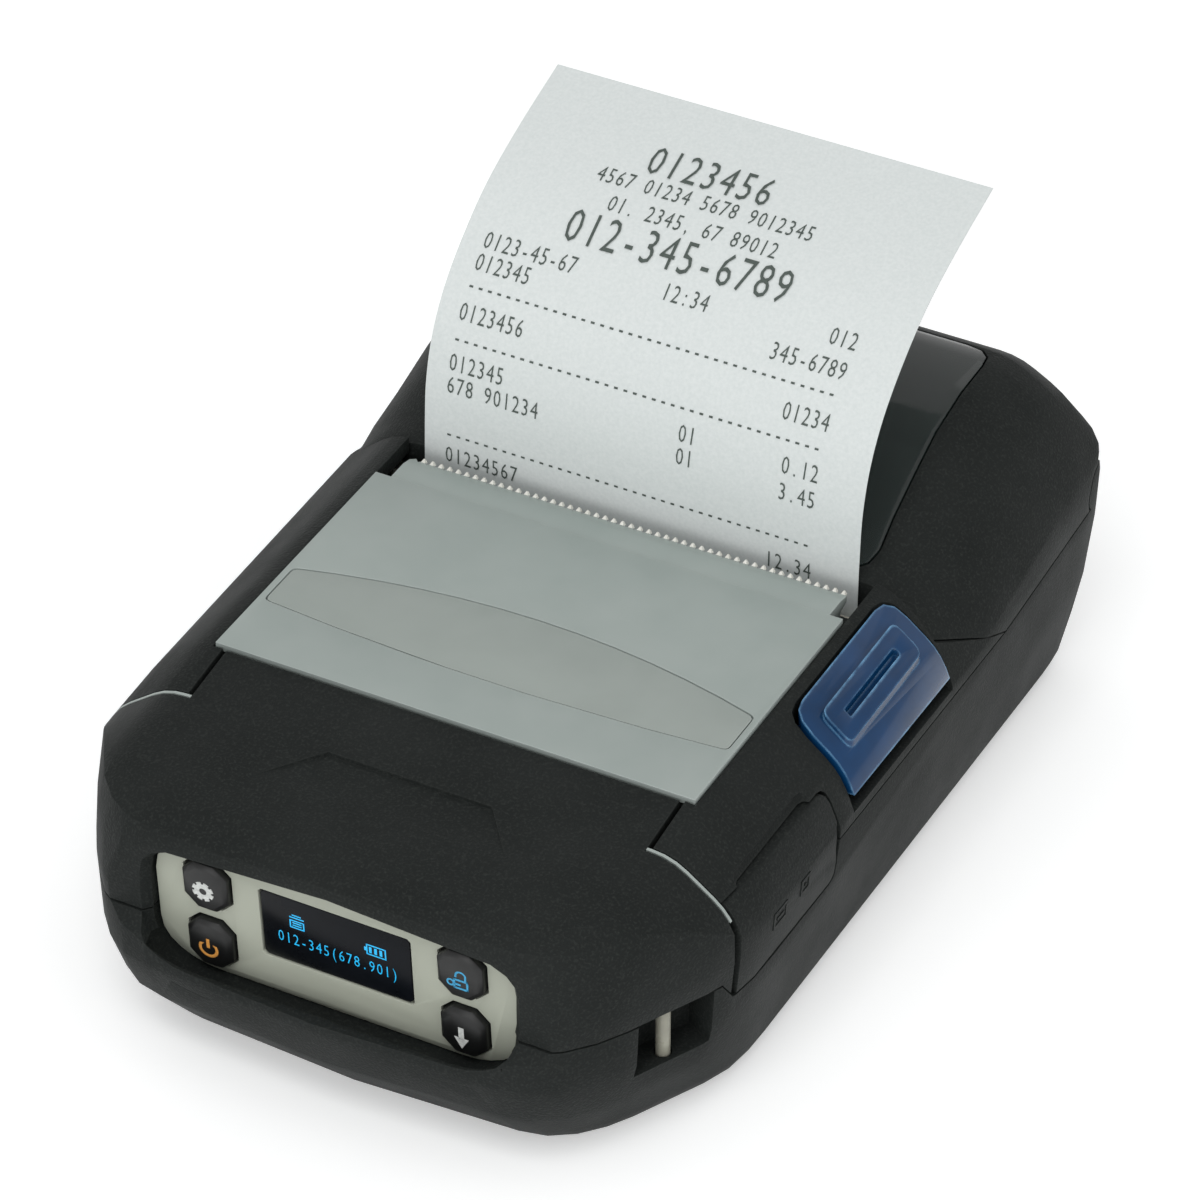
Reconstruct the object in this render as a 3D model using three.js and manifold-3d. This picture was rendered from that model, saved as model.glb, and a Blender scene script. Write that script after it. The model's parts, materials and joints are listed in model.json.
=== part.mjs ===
// Portable thermal receipt printer, millimetres, +Z up.
// Origin: middle of the footprint on the surface it stands on.
// -Y is the control panel, +Y the paper lid, +X the side with the latch and the ports.
import * as THREE from 'three';
import { mergeVertices } from 'three/addons/utils/BufferGeometryUtils.js';
import Module from 'manifold-3d';

const wasm = await Module();
wasm.setup();

// Driving sizes
const paperWidth = 79.5;
const rollRadius = 21;
const platenRadius = 5;
const sideBay = 18.25;
const deckHeight = 50;
const lidRise = 12.7;
const wall = 2.2;
const frontWall = 8;
const seamGap = 0.4;
const clearance = 0.3;
const bite = 0.1;
const overrun = 10;

// Lengths of the case from the front: hood, plate, tear bar, paper slot, platen, roll
const hoodDepth = 33.5;
const plateFrontDepth = 45;
const batterySetback = 26;
const batteryLength = 60;
const frameRoom = 6;
const frameSetback = 5;
const plateLength = batterySetback + batteryLength + frameRoom + frameSetback - plateFrontDepth;
const tearDepth = 7.2;
const slotDepth = 4.5;
const platenSetback = 4.6;
const rearRoom = 7.7;
const topLength = plateFrontDepth + plateLength + tearDepth + slotDepth;
const rollSetback = platenRadius + rollRadius;
const bodyLength = topLength + platenSetback + rollSetback + rollRadius + rearRoom;
const bodyWidth = paperWidth + 2 * sideBay;

const front = -bodyLength / 2;
const rear = bodyLength / 2;
const halfWidth = bodyWidth / 2;
const lidTop = deckHeight + lidRise;
const hoodSeam = front + hoodDepth;
const plateFront = front + plateFrontDepth;
const plateBack = plateFront + plateLength;
const tearEdge = plateBack + tearDepth;
const lidFront = tearEdge + slotDepth;
const lidLength = rear - lidFront;

// Heights of the seams between the casings
const hoodSeamDrop = 22;
const caseSeamDrop = 17.8;
const rearSeamDrop = 15;
const hoodSeamHeight = deckHeight - hoodSeamDrop;
const caseSeamHeight = deckHeight - caseSeamDrop;
const caseSeamRearHeight = deckHeight - rearSeamDrop;

// Paper and print mechanism
const paperThickness = 0.1;
const paperGap = 0.2;
const plateOverhang = 2.85;
const plateHalf = paperWidth / 2 + plateOverhang;
const platenDrop = 14.5;
const platenHeight = deckHeight - platenDrop;
const platenY = lidFront + platenSetback;
const shaftRadius = 2;
const coreRadius = 6.2;
const coreWall = 1.2;
const cradleGap = 1;
const cradleWall = 1.5;
const cradleFeet = 1.8;
const cradleMargin = 1.2;
const cheekThickness = 1.4;
const trayHalf = paperWidth / 2 + cradleMargin;
const cradleHalf = trayHalf + cheekThickness;
const rollHeight = wall + cradleFeet + cradleWall + cradleGap + rollRadius;
const rollY = platenY + rollSetback;

// Lid hinge
const hingeInset = 4.5;
const hingeDrop = 12;
const knuckleRadius = 4.2;
const hingePinRadius = 1.5;
const hingePinInset = 4;
const hingeY = rear - hingeInset;
const hingeHeight = deckHeight - hingeDrop;

// Colours and finishes
const finish = (color, roughness, metalness = 0) =>
  new THREE.MeshStandardMaterial({ color, roughness, metalness });
const rubberBlack = finish(0x3a3c3a, 0.78);
const plasticBlack = finish(0x242625, 0.6);
const silver = finish(0xa3adaa, 0.5, 0.35);
const badgeGrey = finish(0x989f99, 0.45, 0.3);
const panelGrey = finish(0xa8aca0, 0.5);
const buttonRubber = finish(0x1b1c1c, 0.7);
const displayBlack = finish(0x101215, 0.15);
const latchBlue = finish(0x1f4a86, 0.18);
const smoked = finish(0x3c4a47, 0.12);
const steel = finish(0xb8babb, 0.35, 0.9);
const darkSteel = finish(0x6d7072, 0.4, 0.85);
const aluminium = finish(0xc2c5c7, 0.4, 0.9);
const ceramic = finish(0xe6e2d6, 0.3);
const platenRubber = finish(0x2c2d2f, 0.85);
const nylon = finish(0xe9e7dd, 0.55);
const brass = finish(0xb9974a, 0.35, 0.9);
const boardGreen = finish(0x1f5a3c, 0.5);
const paperWhite = finish(0xd9dfde, 0.9);
const cardboard = finish(0xb59a72, 0.9);
const beige = finish(0x9a9a8a, 0.5);

// Solids from closed geometries
function solid(geometry) {
  const bare = geometry.index ? geometry.toNonIndexed() : geometry.clone();
  bare.deleteAttribute('normal');
  bare.deleteAttribute('uv');
  const merged = mergeVertices(bare, 1e-4);
  return new wasm.Manifold(new wasm.Mesh({
    numProp: 3,
    vertProperties: new Float32Array(merged.attributes.position.array),
    triVerts: new Uint32Array(merged.index.array),
  }));
}

function geometryOf(body) {
  const mesh = body.getMesh();
  const geometry = new THREE.BufferGeometry();
  geometry.setAttribute('position', new THREE.BufferAttribute(mesh.vertProperties, 3));
  geometry.setIndex(new THREE.BufferAttribute(mesh.triVerts, 1));
  const flat = geometry.toNonIndexed();
  flat.computeVertexNormals();
  return flat;
}

const basis = (x, y, z) => new THREE.Matrix4().makeBasis(x, y, z);
const axisX = new THREE.Vector3(1, 0, 0);
const axisY = new THREE.Vector3(0, 1, 0);
const axisZ = new THREE.Vector3(0, 0, 1);
const alongX = basis(axisY, axisZ, axisX);
const alongY = basis(axisX, axisZ, axisY.clone().negate());
const spinX = basis(axisY, axisX, axisZ.clone().negate());
const spinZ = basis(axisX, axisZ, axisY.clone().negate());

const shapeOf = points => new THREE.Shape(points.map(([u, v]) => new THREE.Vector2(u, v)));

function extrude(shape, depth, matrix) {
  const geometry = new THREE.ExtrudeGeometry(shape, { depth, bevelEnabled: false, curveSegments: 8 });
  return matrix ? geometry.applyMatrix4(matrix) : geometry;
}

function box(x0, x1, y0, y1, z0, z1) {
  const geometry = new THREE.BoxGeometry(x1 - x0, y1 - y0, z1 - z0);
  return solid(geometry.translate((x0 + x1) / 2, (y0 + y1) / 2, (z0 + z1) / 2));
}

const prismX = (points, x0, x1) =>
  solid(extrude(shapeOf(points), x1 - x0, alongX).translate(x0, 0, 0));
const prismY = (points, y0, y1) =>
  solid(extrude(shapeOf(points), y1 - y0, alongY).translate(0, y1, 0));
const prismZ = (points, z0, z1) => solid(extrude(shapeOf(points), z1 - z0).translate(0, 0, z0));

function cylinderX(radius, x0, x1, y, z, sides = 18) {
  const geometry = new THREE.CylinderGeometry(radius, radius, x1 - x0, sides);
  return solid(geometry.applyMatrix4(spinX).translate((x0 + x1) / 2, y, z));
}

function cylinderZ(radius, z0, z1, x, y, sides = 14) {
  const geometry = new THREE.CylinderGeometry(radius, radius, z1 - z0, sides);
  return solid(geometry.applyMatrix4(spinZ).translate(x, y, (z0 + z1) / 2));
}

// A lathe about an axis along X: rows of [radius, x]
function latheX(rows, y, z, sides = 28) {
  const profile = rows.map(([r, x]) => new THREE.Vector2(r, x));
  return solid(new THREE.LatheGeometry(profile, sides).applyMatrix4(spinX).translate(0, y, z));
}

const mirrorX = points => points.map(([u, v]) => [-u, v]).reverse();

// Rounds the inner corners of an open line by a radius each, in a fixed number of steps
function roundedLine(points, radii, steps = 3) {
  const line = [];
  points.forEach(([u, v], i) => {
    if (!radii[i]) {
      line.push([u, v]);
      return;
    }
    const corner = new THREE.Vector2(u, v);
    const before = new THREE.Vector2(...points[i - 1]).sub(corner);
    const after = new THREE.Vector2(...points[i + 1]).sub(corner);
    const reach = Math.min(radii[i], before.length() / 2, after.length() / 2);
    const start = corner.clone().add(before.setLength(reach));
    const end = corner.clone().add(after.setLength(reach));
    const curve = new THREE.QuadraticBezierCurve(start, corner, end);
    curve.getPoints(steps).forEach(point => line.push([point.x, point.y]));
  });
  return line;
}

// Closes half an outline, from its first point on the middle line to its last, by its mirror
function mirrored(half) {
  return [...half, ...mirrorX(half.slice(1, -1))];
}

function roundedRectangle(u0, u1, v0, v1, radius, steps = 3) {
  const middle = (u0 + u1) / 2;
  const corners = [[middle, v0], [u1, v0], [u1, v1], [u0, v1], [u0, v0], [middle, v0]];
  return roundedLine(corners, [0, radius, radius, radius, radius, 0], steps).slice(0, -1);
}

// A closed solid through rings of points, with flat ends
function loft(rings) {
  const count = rings[0].length;
  const positions = rings.flat(2);
  const index = [];
  for (let i = 0; i < rings.length - 1; i++) {
    for (let j = 0; j < count; j++) {
      const k = (j + 1) % count;
      const a = i * count + j;
      const b = i * count + k;
      index.push(a, b, b + count, a, b + count, a + count);
    }
  }
  [0, rings.length - 1].forEach(end => {
    const ring = rings[end];
    const centre = [0, 1, 2].map(axis => ring.reduce((sum, point) => sum + point[axis], 0) / count);
    const hub = positions.length / 3;
    positions.push(...centre);
    for (let j = 0; j < count; j++) {
      const a = end * count + j;
      const b = end * count + (j + 1) % count;
      index.push(...(end === 0 ? [hub, b, a] : [hub, a, b]));
    }
  });
  const geometry = new THREE.BufferGeometry();
  geometry.setAttribute('position', new THREE.Float32BufferAttribute(positions, 3));
  geometry.setIndex(index);
  return solid(geometry);
}

// Case: plan outline, drawn in level by level towards the floor and the brow
const noseSetback = 21;
const noseBow = 2;
const cornerSetback = 13;
const cornerDepth = 9.5;
const waistInset = 1;
const waistDepth = 33;
const sideInset = 0.6;
const widestShare = 0.25;
const tailDepth = 9;
const tailInset = 0.7;
const tailCornerDepth = 2;
const tailSetback = 5.5;
const noseRadius = 7;
const waistRadius = 9;
const tailRadius = 4;
const cornerHalf = halfWidth - cornerSetback;

const planHalf = roundedLine([
  [0, front],
  [halfWidth - noseSetback, front + noseBow],
  [cornerHalf, front + cornerDepth],
  [halfWidth - waistInset, front + waistDepth],
  [halfWidth - sideInset, plateFront],
  [halfWidth, widestShare * bodyLength],
  [halfWidth, rear - tailDepth],
  [halfWidth - tailInset, rear - tailCornerDepth],
  [halfWidth - tailSetback, rear],
  [0, rear],
], [0, noseRadius, noseRadius, waistRadius, 0, 0, tailRadius, tailRadius, tailRadius, 0], 2);

// How far the floor is drawn in at the sides, the front and the rear
const sideTuck = 8;
const foreTuck = 14;
const aftTuck = 7;

// Per level: height as a share of the deck's, and the shares of the three tucks there
const levelShares = [
  [0, 1, 1, 1],
  [0.024, 0.725, 0.86, 0.71],
  [0.08, 0.55, 0.69, 0.49],
  [0.24, 0.36, 0.21, 0.26],
  [0.4, 0.19, 0.014, 0.11],
  [0.644, 0.04, 0.04, 0.014],
  [0.8, 0, 0.16, 0],
  [0.892, 0.05, 0.3, 0.03],
  [0.932, 0.075, 0.64, 0.06],
];
const crownShares = [0.375, 0.86, 0.43];
const tuckedIn = (z, [sides, fore, aft]) => [z, sides * sideTuck, fore * foreTuck, aft * aftTuck];
const planLevels = [
  ...levelShares.map(([height, ...shares]) => tuckedIn(height * deckHeight, shares)),
  tuckedIn(lidTop + overrun, crownShares),
];
const innerLevels = planLevels.filter((_, i) => i % 2 === 0 || i === planLevels.length - 1);

// An offset copy of the plan solid, the inner ones through fewer levels
function planSolid(inset, frontInset = inset, floorInset = inset) {
  const levels = inset > 0 ? innerLevels : planLevels;
  return loft(levels.map(([z, sides, fore, aft], i) =>
    planRing(i ? z : floorInset, sides + inset, fore + frontInset, aft + inset)));
}

function planRing(z, sides, fore, aft) {
  const widthShare = (halfWidth - sides) / halfWidth;
  const lengthShare = (bodyLength - fore - aft) / bodyLength;
  const place = ([x, y]) => [x * widthShare, front + fore + (y - front) * lengthShare, z];
  return mirrored(planHalf).map(place);
}

// Sections across the case. Each one runs from the flat top over the shoulder and the hip
// to the flank: the widths are shares of the half width, the drops shares of a rise.
const flare = 3;
const flankDrop = 13.5;
const shoulderRadii = [0, 3.5, 4, 5, 0, 0, 0];
const sectionAt = (y, top, rise, [flatTop, shoulder, drop, hip, hipDrop]) =>
  [y, top, flatTop * halfWidth, shoulder * halfWidth, drop * rise, hip * halfWidth, hipDrop * rise];

const hoodDrop = 3.8;
const hoodTop = deckHeight - hoodDrop;
const browDrop = 0.4;
const browDepth = 5;
const hoodRise = 1.7;
const deckCamber = 0.5;
const deckSections = [
  sectionAt(front - overrun, hoodTop - browDrop, flankDrop, [0.741, 0.914, 0.533, 0.983, 1]),
  sectionAt(front + browDepth, hoodTop, flankDrop, [0.741, 0.914, 0.533, 0.983, 1]),
  sectionAt(hoodSeam, hoodTop + hoodRise, flankDrop, [0.767, 0.938, 0.548, 0.979, 1]),
  sectionAt(plateFront, deckHeight - deckCamber, flankDrop, [0.769, 0.934, 0.593, 0.976, 1]),
  sectionAt(lidFront, deckHeight - deckCamber, flankDrop, [0.776, 0.948, 0.593, 0.99, 1]),
  sectionAt(rear + overrun, deckHeight - deckCamber, flankDrop, [0.776, 0.948, 0.593, 0.99, 1]),
];

// Per section of the lid: place along its length and height of its top above the deck, as
// shares of the lid's length and rise, then the shares of the section
const lidShares = [
  [-0.197, -0.157, 0.733, 0.905, 0.354, 0.976, 0.866],
  [0, -0.134, 0.733, 0.905, 0.362, 0.979, 0.882],
  [0.059, -0.087, 0.729, 0.888, 0.346, 0.979, 0.882],
  [0.126, 0, 0.724, 0.871, 0.346, 0.976, 0.898],
  [0.202, 0.252, 0.716, 0.862, 0.409, 0.972, 0.976],
  [0.329, 0.551, 0.707, 0.855, 0.441, 0.966, 1.102],
  [0.464, 0.835, 0.707, 0.855, 0.457, 0.966, 1.213],
  [0.624, 0.984, 0.707, 0.862, 0.441, 0.972, 1.26],
  [0.776, 1, 0.714, 0.872, 0.425, 0.979, 1.3],
  [0.857, 0.929, 0.721, 0.879, 0.425, 0.983, 1.3],
  [0.924, 0.74, 0.724, 0.886, 0.425, 0.99, 1.22],
  [0.975, 0.394, 0.728, 0.897, 0.409, 1, 0.945],
  [1.034, -0.472, 0.731, 0.897, 0.315, 1, 0.63],
];
const lidSections = lidShares.map(([along, up, ...shares]) =>
  sectionAt(lidFront + along * lidLength, deckHeight + up * lidRise, lidRise, shares));

function sectionSolid(sections, inset) {
  const kept = inset > 0 ? sections.filter((_, i) => i % 2 === 0 || i === sections.length - 1) : sections;
  return loft(kept.map(([y, top, flatTop, shoulder, drop, hip, hipDrop]) => {
    const line = roundedLine([
      [0, top - inset],
      [flatTop - inset / 2, top - inset],
      [shoulder - inset, top - drop - inset / 2],
      [hip - inset, top - hipDrop],
      [halfWidth + flare - inset, top - hipDrop - flankDrop],
      [halfWidth + flare - inset, -overrun],
      [0, -overrun],
    ], shoulderRadii, inset > 0 ? 1 : 3);
    return mirrored(line).map(([x, z]) => [x, y, z]);
  }));
}

const planOuter = planSolid(0);
const planInner = planSolid(wall, frontWall, wall);
const deckOuter = planOuter.intersect(sectionSolid(deckSections, 0));
const deckInner = planInner.intersect(sectionSolid(deckSections, wall));
const lidOuter = planOuter.intersect(sectionSolid(lidSections, 0));
const lidInner = planSolid(wall).intersect(sectionSolid(lidSections, wall));

// Seams between the casings, as lines of [y, z] seen from the side
const doorSetback = 0.9;
const doorFront = hoodSeam + doorSetback;
const doorLength = 31.8;
const doorDrop = 8.8;
const doorHeight = 16.8;
const doorTop = deckHeight - doorDrop;
const doorBottom = doorTop - doorHeight;
const doorRear = doorFront + doorLength;
const doorCorner = 2;
const hoodSeamBend = 2.5;
const lidSideOverlap = 1;
const lidSideDrop = 4;
const lidSideTop = deckHeight - 2 * lidSideDrop;
const lidSeamDepth = 18.5;
const barrelMargin = 1.2;
const lidSeamY = lidFront + lidSeamDepth;
const barrelFloor = hingeHeight - knuckleRadius - seamGap;
const rearSeamY = hingeY - knuckleRadius - barrelMargin;

const caseSeam = [
  [front - overrun, hoodSeamHeight],
  [hoodSeam - hoodSeamBend, hoodSeamHeight],
  [hoodSeam, doorBottom],
  [doorRear - 2 * doorCorner, doorBottom],
  [doorRear - 2 * doorCorner, caseSeamHeight],
  [lidSeamY, caseSeamHeight],
  [rearSeamY, caseSeamRearHeight],
  [rear + overrun, caseSeamRearHeight],
];

const side = halfWidth + overrun;
const sky = lidTop + overrun;
const shifted = (line, dz) => line.map(([y, z]) => [y, z + dz]);
const belowSeam = prismX([
  [front - overrun, -overrun],
  [rear + overrun, -overrun],
  ...shifted(caseSeam, -seamGap / 2).reverse(),
], -side, side);
const aboveSeam = prismX([
  ...shifted(caseSeam, seamGap / 2),
  [rear + overrun, sky],
  [front - overrun, sky],
], -side, side);

const lidSeam = [
  [lidFront, sky],
  [lidFront, deckHeight - lidSideDrop],
  [lidFront - lidSideOverlap, lidSideTop],
  [lidSeamY, caseSeamHeight],
];
const behindLidSeam = offset => prismX([
  ...lidSeam.map(([y, z]) => [y + offset, z]),
  [lidSeamY + offset, -overrun],
  [rear + overrun, -overrun],
  [rear + overrun, sky],
], -side, side);

// Control panel, in its own leaning frame: u to the right, v up, w out of the panel
const panelSetback = 26.2;
const panelFootShare = 0.8;
const panelDrop = 7;
const panelHeight = 25.4;
const panelBow = 2.4;
const panelRise = 13.4;
const panelHalf = halfWidth - panelSetback;
const panelTop = deckHeight - panelDrop;
const panelSideTop = panelTop - panelBow;
const panelBottom = panelTop - panelHeight;
const panelCentreHeight = panelBottom + panelRise;
const panelInset = 7.9;
const panelRadius = 5;
const panelRoom = 15;
const panelTilt = THREE.MathUtils.degToRad(4);
const lipThickness = 2.2;
const lipHeight = 4.4;
const lipTop = panelBottom + lipHeight;
const lipRise = 4;
const lipMargin = 3;
const lipDepth = 10;
const bezelThickness = 1.6;
const faceSetback = 5.2;
const rimDrop = 0.5;
const rimReach = 1.25;
const rimFlare = 1.3;
const faceY = front + faceSetback;
const rimBack = front + panelInset - rimReach;
const panelOutline = (grow, bottom = panelBottom, drop = 0) => mirrored(roundedLine([
  [0, bottom - grow],
  [panelHalf * panelFootShare, bottom - grow],
  [panelHalf + grow, bottom + lipRise],
  [panelHalf + grow, panelSideTop - drop + grow],
  [0, panelTop - drop + grow],
], [0, panelRadius, panelRadius, panelRadius, 0]));

// What is cut away in front of the panel: the face of the nose is set back down to the lip, and
// the opening in it widens a little towards the front
const facePlane = prismX([
  [front - overrun, lipTop],
  [front, lipTop],
  [faceY, hoodSeamHeight],
  [faceY, sky],
  [front - overrun, sky],
], -side, side);
const rimRing = (flare, y) => panelOutline(clearance, lipTop, rimDrop)
  .map(([x, z]) => [x + Math.sign(x) * flare, y, z]);
const rimOpening = loft([
  rimRing(0, front + panelRoom),
  rimRing(0, rimBack),
  rimRing(rimFlare, faceY),
  rimRing(rimFlare * (overrun + faceSetback) / faceSetback, front - overrun),
]);
const behindLip = box(-side, side, front + lipThickness, front + panelRoom, -overrun, lipTop + wall);
const panelOpening = prismY(panelOutline(clearance), rimBack, front + panelRoom)
  .add(prismY(panelOutline(clearance), front, front + panelRoom).intersect(behindLip))
  .add(rimOpening)
  .add(facePlane);

// Lower case
const batteryHeight = 20.5;
const bayWall = 1.6;
const standoff = 0.4;
const batteryFront = front + batterySetback;
const batteryRear = batteryFront + batteryLength;

const strapHalf = 7.2;
const strapDepth = 7.6;
const strapHeight = 11;
const strapPinRadius = 1.2;
const strapPinInset = 3.2;
const strapPinSocket = 3;
const strapShare = 0.56;
const strapCorner = new THREE.Vector2(cornerHalf, front + cornerDepth);
const strapWaist = new THREE.Vector2(halfWidth - waistInset, front + waistDepth);
const strapCentre = strapCorner.clone().lerp(strapWaist, strapShare);
const strapAlong = strapWaist.clone().sub(strapCorner).normalize();
const strapOut = new THREE.Vector2(strapAlong.y, -strapAlong.x);
const strapFloor = hoodSeamHeight - strapHeight;

function strapSlot(sign, grow = 0) {
  const at = (along, out) => {
    const point = strapCentre.clone().addScaledVector(strapAlong, along).addScaledVector(strapOut, out);
    return [sign * point.x, point.y];
  };
  const ring = [
    at(-strapHalf - grow, -strapDepth - grow),
    at(-strapHalf - grow, overrun),
    at(strapHalf + grow, overrun),
    at(strapHalf + grow, -strapDepth - grow),
  ];
  return prismZ(sign > 0 ? ring : ring.reverse(), strapFloor - grow, hoodSeamHeight + bite);
}

function strapPinAt(sign) {
  const point = strapCentre.clone().addScaledVector(strapOut, -strapPinInset - strapPinRadius);
  return [sign * point.x, point.y];
}

const screwRadius = 1.4;
const screwHeadRadius = 2.6;
const screwHeadHeight = 1.8;
const screwLength = 12;
const screwRecess = 1;
const bossRadius = 3.6;
const bossDrop = 6;
const bossGap = 0.55;
const frontScrewInset = 20;
const frontScrewDepth = 34;
const rearScrewDepth = 22;
const frontScrewHalf = halfWidth - frontScrewInset;
const rearScrewHalf = cradleHalf + bossRadius + bossGap;
const screwPlaces = [
  [-frontScrewHalf, front + frontScrewDepth],
  [frontScrewHalf, front + frontScrewDepth],
  [-rearScrewHalf, rear - rearScrewDepth],
  [rearScrewHalf, rear - rearScrewDepth],
];

const batteryGap = 2.4;
const batteryHalf = frontScrewHalf - bossRadius - batteryGap;
const batteryBay = grow => box(-batteryHalf - grow, batteryHalf + grow, batteryFront - grow,
  batteryRear + grow, -overrun, standoff + batteryHeight + grow);

const batteryLatchHalf = 7;
const batteryLatchLength = 7;
const batteryLatchHeight = 2.6;
const batteryLatchTravel = 2.5;
const batteryLatchFront = batteryRear + seamGap;
const batteryLatchRear = batteryLatchFront + batteryLatchLength;

const earFoot = 4;
const lidBarrelHalf = halfWidth - 3 * hingePinInset;
const earInner = lidBarrelHalf + seamGap;

const mirrorIf = (body, sign) => (sign < 0 ? body.mirror([1, 0, 0]) : body);

// Shelf that the recess behind the port door stands on
function portShelf() {
  const top = doorBottom - seamGap;
  const near = doorFront + housingMargin;
  const far = doorRear - housingMargin;
  return box(housingBack, side, near, far, top - bayWall, top).intersect(planSolid(wall / 2))
    .add(box(housingBack, housingFace, near, far, top - bite, doorBottom + housingMargin - clearance));
}

function lowerCase() {
  let body = planOuter.subtract(planInner).intersect(belowSeam);
  const lipHalf = panelHalf + lipMargin;
  const ledge = box(-lipHalf, lipHalf, front - overrun, front + lipDepth,
    panelBottom - lipRise, panelBottom - clearance);
  body = body.add(ledge.intersect(planOuter).intersect(belowSeam));
  for (const [x, y] of screwPlaces) {
    body = body.add(cylinderZ(bossRadius, wall / 2, caseSeamHeight - bossDrop, x, y));
  }
  const inside = box(-side, side, front, rear, wall / 2, deckHeight);
  body = body.add(batteryBay(clearance + bayWall).intersect(inside));
  const ear = cylinderX(knuckleRadius, earInner, halfWidth, hingeY, hingeHeight)
    .add(box(earInner, halfWidth, hingeY, hingeY + knuckleRadius,
      hingeHeight - knuckleRadius - earFoot, hingeHeight));
  for (const sign of [-1, 1]) {
    body = body.add(mirrorIf(ear, sign).intersect(planOuter));
    body = body.add(strapSlot(sign, bayWall).intersect(planOuter).intersect(belowSeam));
    body = body.subtract(strapSlot(sign));
    const [x, y] = strapPinAt(sign);
    body = body.subtract(cylinderZ(strapPinRadius + clearance, strapFloor - strapPinSocket,
      strapFloor + bite, x, y));
  }
  body = body.subtract(batteryBay(clearance));
  body = body.subtract(portDoorRegion(seamGap));
  body = body.subtract(box(-batteryLatchHalf - clearance, batteryLatchHalf + clearance,
    batteryRear, batteryLatchRear + batteryLatchTravel + clearance,
    -overrun, standoff + batteryLatchHeight + clearance));
  body = body.subtract(panelOpening);
  body = body.subtract(box(-earInner, earInner, rearSeamY, rear + overrun, barrelFloor, sky));
  body = body.add(portShelf());
  const headTop = screwRecess + screwHeadHeight + clearance;
  for (const [x, y] of screwPlaces) {
    body = body.subtract(cylinderZ(screwHeadRadius + clearance, -overrun, headTop, x, y));
    body = body.subtract(cylinderZ(screwRadius + clearance, 0, headTop + screwLength, x, y));
  }
  const pinHalf = halfWidth - hingePinInset + clearance;
  return body.subtract(cylinderX(hingePinRadius + clearance, -pinHalf, pinHalf, hingeY, hingeHeight));
}

// Hood over the front, with the hollow in its top
const reliefHalf = 14.5;
const reliefFlare = 7.5;
const reliefLength = 9.5;
const reliefBackDepth = 31.5;
const reliefDepth = 0.25;
const reliefRise = 1.1;
const reliefBack = front + reliefBackDepth;
const trimInset = 1.8;
const trimHalf = plateHalf - trimInset;
const trimThickness = 0.5;
const trimDrop = 11;
const trimGap = trimThickness / 2 + clearance;

function hoodRegion(gap) {
  const neck = trimHalf - gap;
  return prismZ([
    [-side, front - overrun],
    [side, front - overrun],
    [side, hoodSeam - gap],
    [neck, hoodSeam - gap],
    [neck, plateFront - gap],
    [-neck, plateFront - gap],
    [-neck, hoodSeam - gap],
    [-side, hoodSeam - gap],
  ], -overrun, sky);
}

function hoodRelief() {
  const ring = (half, y, low) => [[-half, y, low], [half, y, low], [half, y, sky], [-half, y, sky]];
  const surface = hoodTop + reliefRise;
  return loft([
    ring(reliefHalf, reliefBack, surface - reliefDepth),
    ring(reliefHalf + reliefFlare, reliefBack - reliefLength, surface - bite),
  ]);
}

const frontHood = () => deckOuter.subtract(deckInner)
  .intersect(aboveSeam)
  .intersect(hoodRegion(trimGap))
  .subtract(panelOpening)
  .subtract(hoodRelief());

// Upper case: the two side rails and the deck between them
const deckThickness = 1.8;
const plateThickness = 1.4;
const railInner = plateHalf + clearance;
const deckTop = deckHeight - plateThickness - clearance;
const tearMargin = 0.25;
const tearHalf = paperWidth / 2 + tearMargin;
const tearSunk = 0.4;
const tearThickness = 4.4;
const tearTop = deckHeight - tearSunk;
const stepTop = tearTop - tearThickness - clearance;
const stepSetback = 1;

const latchSetback = 25;
const latchLength = 34;
const latchReach = 12.4;
const latchDrop = 13;
const latchTravel = 2;
const latchGap = 0.8;
const latchProud = 0.5;
const latchThickness = 2.2;
const latchCorner = 4;
const latchBottom = deckHeight - latchDrop;
const latchFront = plateBack - latchSetback;
const latchRear = latchFront + latchLength;
const latchInner = halfWidth - latchReach;

const boardDrop = 8;
const boardThickness = 1.6;
const boardInset = 4.6;
const boardTop = deckHeight - boardDrop;
const boardHalf = plateHalf - boardInset;
const boardDepth = 18;
const boardMargin = 8;
const boardFront = front + boardDepth;
const boardRear = plateBack - boardMargin;
const boardBossRadius = 2.6;
const boardBossInset = 5;

const latchSpringInset = 7.6;
const latchSpringDepth = 25;
const latchSpringRadius = 1.8;
const latchSpringWire = 0.3;
const latchSpringRise = 2.6;
const latchSpringTop = latchBottom + latchSpringRise;
const latchSpringX = halfWidth - latchSpringInset;
const latchSpringY = latchFront + latchSpringDepth;
const shelfHalf = 4;
const shelfMargin = 0.5;
const shelfThickness = 1.6;
const shelfTop = caseSeamHeight + 2 * seamGap + shelfThickness;

const latchOutline = (grow, low) => prismZ(roundedRectangle(latchInner - grow, halfWidth + overrun,
  latchFront - grow, latchRear + grow, latchCorner), low, sky);

function portDoorRegion(grow) {
  const outline = roundedLine([
    [doorFront - grow, doorBottom - grow],
    [doorRear + grow, doorBottom - grow],
    [doorRear + grow, doorTop + grow],
    [doorFront - grow, doorTop + grow],
  ], [0, doorCorner, doorCorner, 0]);
  return prismX(outline, halfWidth - latchReach, side);
}

const grooveRadius = 2;
const grooveInset = 4.1;
const grooveRise = 1.7;
const grooveMargin = 5.5;

function thumbGroove() {
  const length = doorLength - 2 * grooveMargin;
  const capsule = new THREE.CapsuleGeometry(grooveRadius, length, 3, 12);
  const middle = (doorFront + doorRear) / 2;
  return solid(capsule.translate(halfWidth - grooveInset, middle, doorTop + grooveRise));
}

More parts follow.
